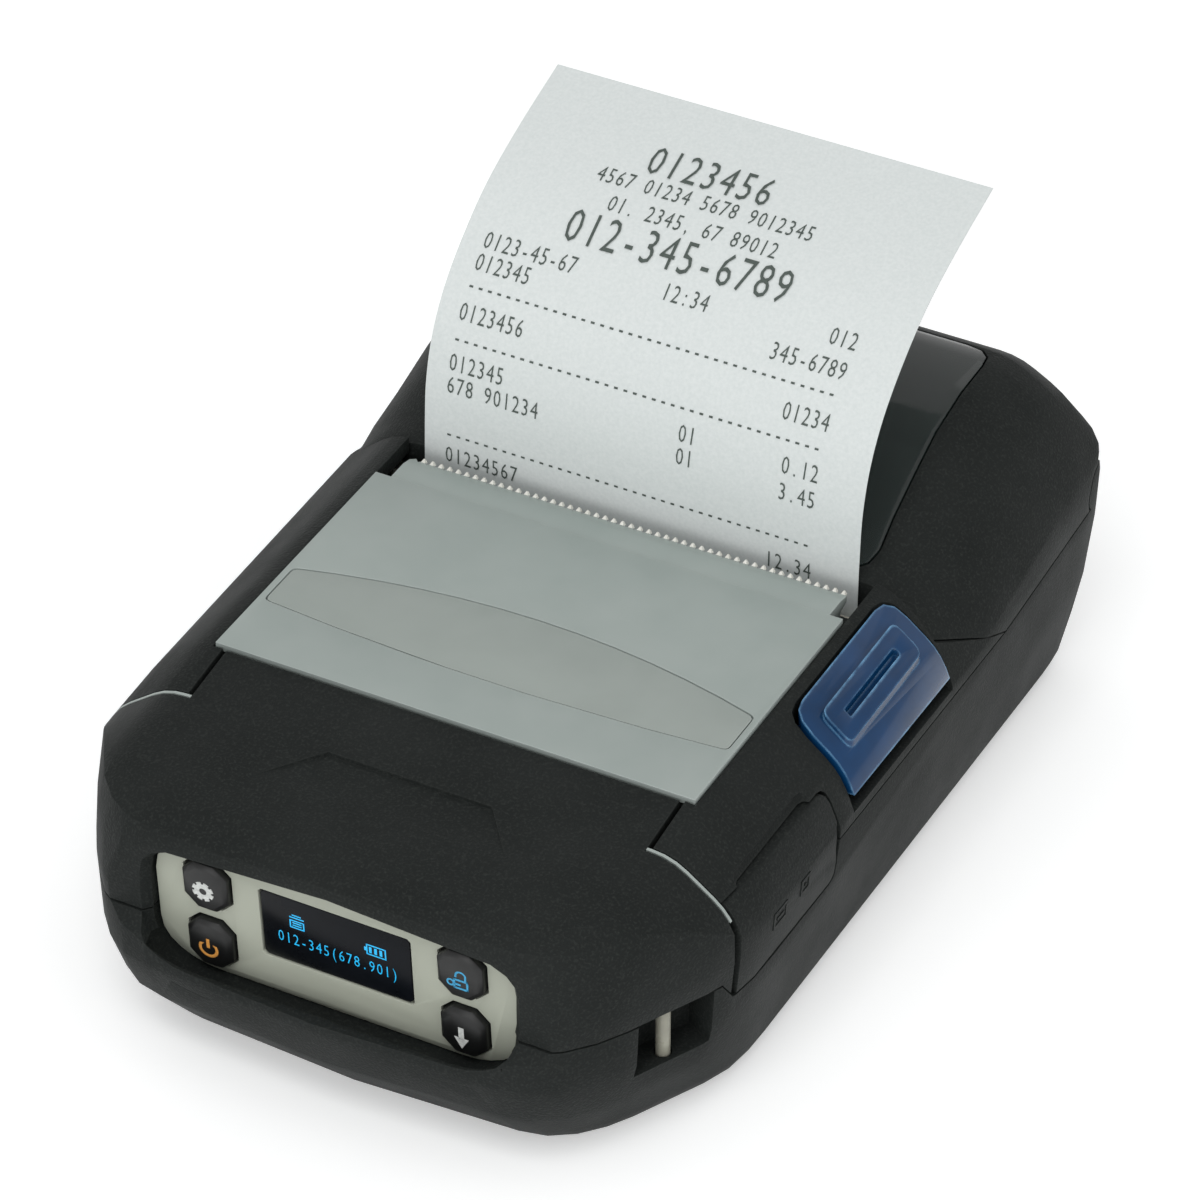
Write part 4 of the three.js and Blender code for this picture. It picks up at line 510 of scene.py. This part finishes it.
def openedCorners():
    for vertex in skins["lower_case"].data.vertices:
        x, y, z = abs(vertex.co.x) / mm, vertex.co.y / mm, vertex.co.z / mm
        # From the lip's inner edge, 0, to its front one, 1
        depth = (corner["inner"] - y) / (corner["inner"] - corner["front"])
        if not -corner["reach"] < depth < 1 + corner["reach"]:
            continue
        for (z0, x0, shift0), (z1, x1, shift1) in zip(corner["places"], corner["places"][1:]):
            share = (z - z0) / (z1 - z0)
            edge = x0 + (x1 - x0) * share + corner["slant"] * depth
            if 0 <= share < 1 and abs(x - edge) < corner["near"]:
                shift = (shift0 + (shift1 - shift0) * share) * (1 - (1 - corner["frontShare"]) * depth)
                vertex.co.x += math.copysign(shift * mm, vertex.co.x)


openedCorners()

# The panel's recess comes near the slope of the lower casing's nose: a slip of the same plastic
# backs the thin wall on each side. Its middle, its size and its slants, which follow the slope.
slip = {"x": 23.2, "y": -81.73, "z": 17.68, "long": 9.4, "thick": 0.8, "high": 1.3, "sunk": 0.03,
        "rise": 0.16, "turn": 0.053, "lean": 0.34}


def noseSlip(side):
    along = Vector((1, 0, side * slip["rise"])).normalized()
    inward = Vector((-side * slip["turn"], 1, slip["lean"]))
    inward = (inward - along * inward.dot(along)).normalized()
    middle = Vector((side * slip["x"], slip["y"], slip["z"])) + inward * slip["sunk"]
    turned = Matrix((along, inward, along.cross(inward))).transposed().to_4x4()
    bpy.ops.mesh.primitive_cube_add(size=mm, location=(0, slip["thick"] / 2 * mm, 0), scale=(
        slip["long"], slip["thick"], slip["high"]))
    piece = named("nose_slip", finishes["softTouchAbs"])
    settle(piece)
    settle(piece, Matrix.Translation(middle * mm) @ turned)
    return piece


joined([skins["lower_case"], noseSlip(-1), noseSlip(1)])

# The latch's spring gets a smooth copy with a mesh of its own; the real spring shortens as the latch is
# pressed
springSkin = roundedCopy("latch_spring", finishes["brightSteel"], None)
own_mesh(springSkin)
print("nodes dressed", len(dress))

# Paper standing out of the slot: the CAD strip's line, drawn as a smooth curve. The shares are
# those of its reach back and up, from the slot to its free end; the rest is in mm.
paper = {"half": 39.75, "exitY": 24.1, "exitZ": 45.2, "back": 47, "up": 51.5, "thick": 0.1,
         "shares": [(0, 0), (0.005, 0.16), (0.02, 0.32), (0.07, 0.47), (0.16, 0.6), (0.3, 0.72),
                    (0.48, 0.83), (0.72, 0.92), (1, 1)],
         "platenY": 29.3, "platenZ": 35.5, "platenRound": 5.2, "rollY": 55.3, "rollZ": 27.5,
         "rollRound": 21.2, "turnSteps": 5, "stepsBetween": 5, "columns": 8, "smoothDegrees": 30}


def paperRoute():
    # Points from the roll, round the platen, up past the tear bar and over
    towards = math.atan2(paper["rollZ"] - paper["platenZ"], paper["rollY"] - paper["platenY"])
    span = math.hypot(paper["rollY"] - paper["platenY"], paper["rollZ"] - paper["platenZ"])
    start = towards - math.acos((paper["platenRound"] - paper["rollRound"]) / span)
    route = [(paper["rollY"] + paper["rollRound"] * math.cos(start),
              paper["rollZ"] + paper["rollRound"] * math.sin(start))]
    begin = start % (2 * math.pi)
    for i in range(paper["turnSteps"] + 1):
        angle = begin + (math.pi - begin) * i / paper["turnSteps"]
        route.append((paper["platenY"] + paper["platenRound"] * math.cos(angle),
                      paper["platenZ"] + paper["platenRound"] * math.sin(angle)))
    knots = [(paper["exitY"] + a * paper["back"], paper["exitZ"] + b * paper["up"])
             for a, b in paper["shares"]]
    knots = [knots[0], *knots, (2 * knots[-1][0] - knots[-2][0], 2 * knots[-1][1] - knots[-2][1])]
    for i in range(1, len(knots) - 2):
        for j in range(paper["stepsBetween"]):
            route.append(between(knots[i - 1:i + 3], j / paper["stepsBetween"]))
    return [Vector((0, y * mm, z * mm)) for y, z in route + [knots[-2]]]


def between(knots, t):
    # A point of the smooth curve from the second knot to the third
    return tuple(0.5 * (2 * b + (c - a) * t + (2 * a - 5 * b + 4 * c - d) * t ** 2
                        + (3 * b - a - 3 * c + d) * t ** 3) for a, b, c, d in zip(*knots))


route = paperRoute()
exitIndex = paper["turnSteps"] + 2


def onPaper(along, lift=0.0):
    # The point at a distance from the exit, lifted off the printed side
    for i in range(exitIndex, len(route) - 1):
        step = route[i + 1] - route[i]
        if along <= step.length or i == len(route) - 2:
            direction = step.normalized()
            return route[i] + direction * along + Vector((0, -direction.z, direction.y)) * lift
        along -= step.length


bpy.ops.mesh.primitive_grid_add(x_subdivisions=paper["columns"], y_subdivisions=len(route) - 1,
                                size=1)
strip = named("paper_strip", finishes["thermalPaper"])
for vertex in strip.data.vertices:
    row = round((vertex.co.y + 0.5) * (len(route) - 1))
    vertex.co = route[row] + Vector((2 * vertex.co.x * paper["half"] * mm, 0, 0))
addModifier(strip, "SOLIDIFY", {"thickness": paper["thick"] * mm, "offset": 1})
takeUp(strip)
bpy.ops.object.shade_smooth_by_angle(angle=math.radians(paper["smoothDegrees"]))
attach(strip, "case")
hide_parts("paper_web")

# Print on the paper: rows of digits and dashes in a thermal printer's narrow letters of equal width.
# Per row: distance from the exit in mm, where it stands, its text, and its size against plain rows
receipt = {"left": -36, "right": 31.5, "middle": -3.1, "title": -4.6, "time": 0.9, "count": 7.8,
           "height": 3.1, "pitch": 1.72, "wide": 2.1, "textSize": 1.4, "thin": -0.008, "lift": 0.1,
           "rows": [
    (64.0, "title", "0123456", 1.9), (58.9, "middle", "4567 01234 5678 9012345", 1),
    (54.0, "middle", "01. 2345, 67 89012", 1), (48.2, "middle", "012-345-6789", 2),
    (42.0, "time", "12:34", 1), (41.8, "left", "0123-45-67", 1), (37.9, "left", "012345", 1),
    (42.9, "right", "012", 1), (37.8, "right", "345-6789", 1), (34.2, "left", "-" * 39, 1),
    (29.4, "left", "0123456", 1), (29.2, "right", "01234", 1), (25.2, "left", "-" * 39, 1),
    (20.8, "left", "012345", 1), (16.8, "left", "678 901234", 1), (20.6, "right", "0.12", 1),
    (16.0, "right", "3.45", 1), (20.6, "count", "01", 1), (16.6, "count", "01", 1),
    (7.8, "left", "-" * 39, 1), (3.4, "left", "01234567", 1), (2.5, "right", "12.34", 1)]}


def modelledCharacter(character):
    # One flat character about its own middle, its digits 1 high
    bpy.ops.object.select_all(action="DESELECT")
    bpy.ops.object.text_add()
    letter = bpy.context.object
    letter.data.body = character
    letter.data.align_x = "CENTER"
    letter.data.align_y = "CENTER"
    letter.data.resolution_u = 2
    letter.data.offset = receipt["thin"]
    letter.data.size = receipt["textSize"]
    bpy.ops.object.convert(target="MESH")
    return letter


def typedRow(text, look, start):
    # Copies of the modelled characters side by side, the first one about the start
    copies = []
    for place, character in enumerate(text):
        if character == " ":
            continue
        copy = bpy.data.objects.new("letter", characters[character].data.copy())
        bpy.context.scene.collection.objects.link(copy)
        for vertex in copy.data.vertices:
            vertex.co.x = start + place * look["pitch"] * mm + vertex.co.x * look["wide"] * mm
            vertex.co.y *= look["height"] * mm
        copies.append(copy)
    return copies


def printedRow(along, stand, text, size):
    look = {key: receipt[key] * size for key in ("pitch", "wide", "height")}
    start = {"left": 0.5, "right": 0.5 - len(text)}.get(stand, 0.5 - len(text) / 2)
    copies = typedRow(text, look, (receipt[stand] + start * look["pitch"]) * mm)
    # A large row's wide faces need more room over the paper's bends
    lift = (receipt["lift"] * size + paper["thick"]) * mm
    for copy in copies:
        for vertex in copy.data.vertices:
            spot = onPaper(along * mm + vertex.co.y, lift)
            vertex.co = spot + Vector((vertex.co.x, 0, 0))
    return copies


characters = {character: modelledCharacter(character) for character in "0123456789-.,:()"}
receiptPrint = joined([copy for row in receipt["rows"] for copy in printedRow(*row)])
named("receipt_print", finishes["receiptInk"])
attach(receiptPrint, "case")
print("paper printed")

# Control panel: the lit pixels and the signs on the keys, made flat and leant with the panel.
# Their places and sizes are in mm from the middle of the panel.
panel = {"y": -76.1, "z": 31, "lean": 94}
panelPlace = Matrix.Translation((0, panel["y"] * mm, panel["z"] * mm)) @ Matrix.Rotation(
    math.radians(panel["lean"]), 4, "X")
screen = {"lift": -0.2, "thick": 0.02, "text": "012-345(678.901)", "pitch": 1.34, "wide": 1.6,
          "height": 2.3, "rowAt": (0.1, -1.3), "line": 0.24,
          "batteryAt": (5.3, 1.2), "batterySize": (3.5, 2.2), "batteryBars": 3,
          "markAt": (-8.2, 1.3), "markSize": (2.6, 1.7),
          "markLines": ((0.5, 0.5), (1.0, 0.5), (2.1, 0), (2.6, 0.5))}


def bar(u0, u1, v0, v1, w0, w1, finish, name="bar"):
    bpy.ops.mesh.primitive_cube_add(size=1, location=((u0 + u1) / 2 * mm, (v0 + v1) / 2 * mm,
                                                      (w0 + w1) / 2 * mm),
                                    scale=((u1 - u0) * mm, (v1 - v0) * mm, (w1 - w0) * mm))
    piece = named(name, finish)
    settle(piece)
    return piece


def frameOfBars(u0, u1, v0, v1, line, low, high, finish):
    sides = ((u0, u1, v0, v0 + line), (u0, u1, v1 - line, v1),
             (u0, u0 + line, v0, v1), (u1 - line, u1, v0, v1))
    return [bar(*side, low, high, finish) for side in sides]


def litPixels():
    cyan = finishes["screenCyan"]
    low, high = screen["lift"] - screen["thick"], screen["lift"] + screen["thick"]
    line = screen["line"]
    middle, v = screen["rowAt"]
    start = middle - (len(screen["text"]) - 1) / 2 * screen["pitch"]
    pieces = typedRow(screen["text"], screen, start * mm)
    for piece in pieces:
        settle(piece, Matrix.Translation((0, v * mm, high * mm)))
    u, v = screen["batteryAt"]
    w, h = screen["batterySize"]
    # A battery with its knob; its bars are two lines wide and two lines in from its outside
    pieces += frameOfBars(u, u + w, v, v + h, line, low, high, cyan)
    pieces.append(bar(u - 1.5 * line, u, v + h / 3, v + 2 * h / 3, low, high, cyan))
    for i in range(screen["batteryBars"]):
        left = u + 2 * line + i * (w - 3 * line) / screen["batteryBars"]
        pieces.append(bar(left, left + 2 * line, v + 2 * line, v + h - 2 * line, low, high, cyan))
    # A slip of paper with two rows of print, and two lines above it, at the left
    u, v = screen["markAt"]
    w, h = screen["markSize"]
    pieces += frameOfBars(u, u + w, v, v + h, line, low, high, cyan)
    for rise, inset in screen["markLines"]:
        pieces.append(bar(u + inset, u + w - inset, v + rise, v + rise + line, low, high, cyan))
    return joined(pieces)


lit = litPixels()
named("screen_pixels", finishes["screenCyan"])
settle(lit, panelPlace)
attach(lit, "case")

for character in characters.values():
    bpy.data.objects.remove(character)

signs = {"top": 1.5, "sunk": 0.12, "proud": 0.07, "left": -22.5, "right": 22.3, "upper": 4.3,
         "lower": -7.8, "ringSteps": 28, "lineSteps": 8}
signLow, signHigh = signs["top"] - signs["sunk"], signs["top"] + signs["proud"]


def ring(u, v, major, minor, finish, keepBelow=None, keepAbove=None):
    # A flattened ring, cut off by a level where one is given
    bpy.ops.mesh.primitive_torus_add(
        location=(u * mm, v * mm, signs["top"] * mm), major_radius=major * mm, minor_radius=minor * mm,
        major_segments=signs["ringSteps"], minor_segments=signs["lineSteps"])
    piece = named("ring", finish)
    piece.scale.z = signs["proud"] / minor
    settle(piece)
    for level, outer in ((keepBelow, True), (keepAbove, False)):
        if level is not None:
            bpy.ops.object.mode_set(mode="EDIT")
            bpy.ops.mesh.select_all(action="SELECT")
            bpy.ops.mesh.bisect(plane_co=(0, (v + level) * mm, 0), plane_no=(0, 1, 0), use_fill=True,
                                clear_outer=outer, clear_inner=not outer)
            bpy.ops.object.mode_set(mode="OBJECT")
    return piece


def gearSign(u, v):
    look = {"round": 1.5, "hole": 0.65, "tooth": 0.4, "teeth": 8, "toothShare": 0.34, "toothSides": 6}
    bpy.ops.mesh.primitive_cylinder_add(
        vertices=look["toothSides"] * look["teeth"], radius=look["round"] * mm,
        depth=(signHigh - signLow) * mm, location=(u * mm, v * mm, (signLow + signHigh) / 2 * mm))
    piece = named("sign_settings", finishes["keyWhite"])
    settle(piece)
    middle = Vector((u * mm, v * mm, 0))

    def isTooth(face):
        out = face.center - middle
        share = math.atan2(out.y, out.x) / (2 * math.pi) * look["teeth"] % 1
        return abs(face.normal.z) < 0.5 and abs(share - 0.5) < look["toothShare"]

    pickFaces(piece, isTooth)
    bpy.ops.mesh.extrude_faces_move(TRANSFORM_OT_shrink_fatten={"value": look["tooth"] * mm})
    bpy.ops.object.mode_set(mode="OBJECT")
    pickFaces(piece, lambda face: abs(face.normal.z) > 0.5
              and (face.center - middle).xy.length < look["hole"] * mm)
    bpy.ops.mesh.inset(thickness=(look["round"] - look["hole"]) * mm)
    bpy.ops.mesh.bridge_edge_loops()
    bpy.ops.object.mode_set(mode="OBJECT")
    return piece


def powerSign(u, v):
    look = {"round": 1.5, "line": 0.28, "cut": 0.95, "barLow": 0.1, "barHigh": 1.95}
    orange = finishes["keyOrange"]
    return [ring(u, v - look["barLow"], look["round"], look["line"], orange, keepBelow=look["cut"]),
            bar(u - look["line"], u + look["line"], v + look["barLow"], v + look["barHigh"],
                signLow, signHigh, orange)]


def unlockSign(u, v):
    # An open padlock in outline, with a key across its lower corner
    look = {"left": -0.8, "right": 1.8, "low": -1.8, "high": 0.2, "line": 0.34, "hoop": 0.85,
            "leg": 0.7, "bow": 0.55, "keyLeft": -1.3, "keyLow": -0.9, "keyEnd": 0.5}
    blue = finishes["keyBlue"]
    middle = u + (look["left"] + look["right"]) / 2
    pieces = frameOfBars(u + look["left"], u + look["right"], v + look["low"], v + look["high"],
                         look["line"], signLow, signHigh, blue)
    hoopLow = v + look["high"] + look["leg"]
    pieces.append(ring(middle, hoopLow, look["hoop"], look["line"] / 2, blue, keepAbove=0))
    for side, low in ((-1, hoopLow - look["leg"] / 2), (1, hoopLow - look["leg"])):
        leg = middle + side * look["hoop"]
        pieces.append(bar(leg - look["line"] / 2, leg + look["line"] / 2, low, hoopLow,
                          signLow, signHigh, blue))
    keyU, keyV = u + look["keyLeft"], v + look["keyLow"]
    pieces.append(ring(keyU, keyV, look["bow"], look["line"] / 2, blue))
    pieces.append(bar(keyU + look["bow"], u + look["keyEnd"], keyV - look["line"] / 2,
                      keyV + look["line"] / 2, signLow, signHigh, blue))
    return pieces


def feedSign(u, v):
    look = {"head": 1.45, "headDrop": 1.0, "shaftHalf": 0.48, "shaftLow": -0.6, "shaftHigh": 1.9}
    white = finishes["keyWhite"]
    bpy.ops.mesh.primitive_cylinder_add(
        vertices=3, radius=look["head"] * mm, depth=(signHigh - signLow) * mm, rotation=(0, 0, math.pi),
        location=(u * mm, (v - look["headDrop"]) * mm, (signLow + signHigh) / 2 * mm))
    head = named("arrow", white)
    settle(head)
    return [head, bar(u - look["shaftHalf"], u + look["shaftHalf"], v + look["shaftLow"],
                      v + look["shaftHigh"], signLow, signHigh, white)]


keySigns = {
    "sign_settings": ([gearSign(signs["left"], signs["upper"])], "keyWhite", "settings_key"),
    "sign_power": (powerSign(signs["left"], signs["lower"]), "keyOrange", "power_key"),
    "sign_unlock": (unlockSign(signs["right"], signs["upper"]), "keyBlue", "unlock_key"),
    "sign_feed": (feedSign(signs["right"], signs["lower"]), "keyWhite", "feed_key"),
}
for name, (pieces, finishName, body) in keySigns.items():
    sign = joined(pieces)
    named(name, finishes[finishName])
    settle(sign, panelPlace)
    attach(sign, body)
print("panel lit and keys marked")

# Steel teeth along the tear bar's edge, near white as a painted glint: one is modelled, then copied a
# pitch apart
teeth = {"pitch": 1.6, "wide": 1.0, "deep": 0.9, "high": 0.55, "drop": 0.75, "tipShare": 0.3}
barLow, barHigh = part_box("tear_bar")


def tearTeeth():
    count = int((barHigh.x - barLow.x) / mm / teeth["pitch"])
    foot = barHigh.z / mm - teeth["drop"]
    edge = barHigh.y / mm
    tooth = bar(-teeth["wide"] / 2, teeth["wide"] / 2, edge - teeth["deep"], edge,
                foot, foot + teeth["high"], finishes["steelWithPaintedGlint"])
    pickFaces(tooth, lambda face: face.normal.z > 0.5)
    bpy.ops.transform.resize(value=(teeth["tipShare"], teeth["tipShare"], 1),
                             center_override=(0, edge * mm, (foot + teeth["high"]) * mm))
    bpy.ops.object.mode_set(mode="OBJECT")
    copies = []
    for i in range(count):
        copy = bpy.data.objects.new("tooth", tooth.data.copy())
        bpy.context.scene.collection.objects.link(copy)
        across = barHigh.x - (i + 0.5) * teeth["pitch"] * mm
        for vertex in copy.data.vertices:
            vertex.co.x += across
        copies.append(copy)
    bpy.data.objects.remove(tooth)
    return joined(copies)


row = tearTeeth()
named("tear_teeth", finishes["steelWithPaintedGlint"])
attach(row, "case")

# Faint raised marks on the port door: two small frames, one with a bar inside and one with a dot,
# laid on its curved face by a ray from beside the door. The broad and square sizes are half sizes.
doorMarks = {"y": (-38, -29.5), "z": 32.0, "proud": 0.16, "sunk": 0.1, "line": 0.5,
             "broad": (2.2, 1.6), "broadBar": 1.2, "square": 1.5, "beside": 80, "face": 56}


def markedDoor():
    door = skins["port_door"]
    line = doorMarks["line"]
    flat = (-doorMarks["sunk"], doorMarks["proud"])
    y0, y1 = doorMarks["y"]
    finish = finishes["softTouchAbs"]
    half, rise = doorMarks["broad"]
    pieces = frameOfBars(y0 - half, y0 + half, -rise, rise, line, *flat, finish)
    half = doorMarks["broadBar"]
    pieces.append(bar(y0 - half, y0 + half, -line / 2, line / 2, *flat, finish))
    half = doorMarks["square"]
    pieces += frameOfBars(y1 - half, y1 + half, -half, half, line, *flat, finish)
    pieces.append(bar(y1 - line / 2, y1 + line / 2, -line / 2, line / 2, *flat, finish))
    marks = joined(pieces)
    named("door_marks", finish)
    for vertex in marks.data.vertices:
        y, z, lift = vertex.co.x, vertex.co.y + doorMarks["z"] * mm, vertex.co.z
        hit, spot, normal, face = door.ray_cast(
            Vector((doorMarks["beside"] * mm, y, z)), Vector((-1, 0, 0)))
        vertex.co = spot + normal * lift if hit else Vector((doorMarks["face"] * mm, y, z))
    return marks


marks = markedDoor()
bpy.ops.object.mode_set(mode="EDIT")
bpy.ops.mesh.select_all(action="SELECT")
bpy.ops.mesh.normals_make_consistent(inside=False)
bpy.ops.object.mode_set(mode="OBJECT")
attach(marks, "door")

# Case screws underneath: the CAD screw with a cross recess cut into its head
cross = {"half": 1.5, "width": 0.7, "deep": 1.1, "below": -1, "edgeRadius": 0.12}


def crossCutter(spot, low):
    x, y = spot.x / mm, spot.y / mm
    half, width = cross["half"], cross["width"] / 2
    top = low / mm + cross["deep"]
    steel = finishes["blackZinc"]
    pieces = [bar(x - half, x + half, y - width, y + width, cross["below"], top, steel),
              bar(x - width, x + width, y - half, y + half, cross["below"], top, steel)]
    addModifier(pieces[0], "BOOLEAN", {"operation": "UNION", "object": pieces[1]})
    bpy.data.objects.remove(pieces[1])
    return pieces[0]


for i in range(1, 5):
    name = f"case_screw_{i}"
    low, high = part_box(name)
    screw = roundedCopy(name, finishes["blackZinc"], cross["edgeRadius"])
    cutter = crossCutter((low + high) / 2, low.z)
    addModifier(screw, "BOOLEAN", {"operation": "DIFFERENCE", "object": cutter})
    bpy.data.objects.remove(cutter)
print("teeth, marks and screws added")

# Stage: white floor that keeps the shadow, plain soft lamps, camera at the photograph's angle.
# Per lamp: its place and size in metres, its power in watts
stage = {"floorHalf": 3.0, "floorColour": "#f2f3f3", "glow": 0.36, "worldColour": "#ffffff",
         "worldLevel": 0.62, "lampAim": (0, 0, 0.03),
         "lamps": {"key_lamp": ((0.15, -0.6, 1.05), (0.5, 0.4), 3.3),
                   "side_lamp": ((1.1, -0.3, 0.6), (0.7, 0.6), 1.0),
                   "front_lamp": ((0.1, -1.2, 0.4), (0.9, 0.5), 2.8),
                   "back_lamp": ((0.2, 1.0, 0.9), (0.9, 0.5), 0.4)}}


def whiteFloor():
    bpy.ops.mesh.primitive_plane_add(size=2 * stage["floorHalf"])
    floor = bpy.context.object
    floor.name = "floor"
    material = bpy.data.materials.new("paperFloor")
    material.use_nodes = True
    tree = material.node_tree
    tree.nodes.clear()
    path = addNode(tree, "ShaderNodeLightPath")
    matt = addNode(tree, "ShaderNodeBsdfDiffuse", {"Color": linear(stage["floorColour"])})
    seen = addNode(tree, "ShaderNodeMath", {"operation": "MAXIMUM"})
    tree.links.new(path.outputs["Is Camera Ray"], seen.inputs[0])
    tree.links.new(path.outputs["Is Glossy Ray"], seen.inputs[1])
    through = addNode(tree, "ShaderNodeMath", {"operation": "MAXIMUM"})
    tree.links.new(seen.outputs["Value"], through.inputs[0])
    tree.links.new(path.outputs["Is Transmission Ray"], through.inputs[1])
    level = addNode(tree, "ShaderNodeMath", {"operation": "MULTIPLY"})
    level.inputs[1].default_value = stage["glow"]
    tree.links.new(through.outputs["Value"], level.inputs[0])
    glow = addNode(tree, "ShaderNodeEmission", links={"Strength": level.outputs["Value"]})
    both = addNode(tree, "ShaderNodeAddShader")
    tree.links.new(matt.outputs["BSDF"], both.inputs[0])
    tree.links.new(glow.outputs["Emission"], both.inputs[1])
    addNode(tree, "ShaderNodeOutputMaterial", links={"Surface": both.outputs["Shader"]})
    floor.data.materials.append(material)


def addLamp(name, spot, aim, size, power):
    bpy.ops.object.light_add(type="AREA", location=spot)
    lamp = bpy.context.object
    lamp.name = name
    lamp.data.shape = "RECTANGLE"
    lamp.data.size, lamp.data.size_y = size
    lamp.data.energy = power
    lamp.rotation_euler = (Vector(aim) - Vector(spot)).to_track_quat("-Z", "Y").to_euler()


def addCamera():
    # The offset goes from the aim to the camera, along its own right, up and back
    look = {"azimuth": 27.792, "elevation": 37.271, "aim": (0, -39 * mm, 50 * mm),
            "offset": (23.145 * mm, 18.65 * mm, 996.157 * mm), "lens": 192, "sensor": 36, "far": 20}
    az, el = math.radians(look["azimuth"]), math.radians(look["elevation"])
    right = Vector((math.cos(az), math.sin(az), 0))
    back = Vector((math.sin(az) * math.cos(el), -math.cos(az) * math.cos(el), math.sin(el)))
    up = back.cross(right)
    spot = Vector(look["aim"]) + sum((axis * shift for axis, shift in zip(
        (right, up, back), look["offset"])), Vector())
    bpy.ops.object.camera_add()
    camera = bpy.context.object
    camera.matrix_world = Matrix.Translation(spot) @ Matrix((right, up, back)).transposed().to_4x4()
    camera.data.lens = look["lens"]
    camera.data.sensor_width = look["sensor"]
    camera.data.clip_end = look["far"]
    bpy.context.scene.camera = camera


whiteFloor()
world = bpy.data.worlds.new("studio")
world.use_nodes = True
sky = world.node_tree.nodes["Background"].inputs
sky["Color"].default_value = linear(stage["worldColour"])
sky["Strength"].default_value = stage["worldLevel"]
bpy.context.scene.world = world
for name, (spot, size, power) in stage["lamps"].items():
    addLamp(name, spot, stage["lampAim"], size, power)
addCamera()
bpy.context.scene.view_settings.view_transform = "Standard"
print("stage set")
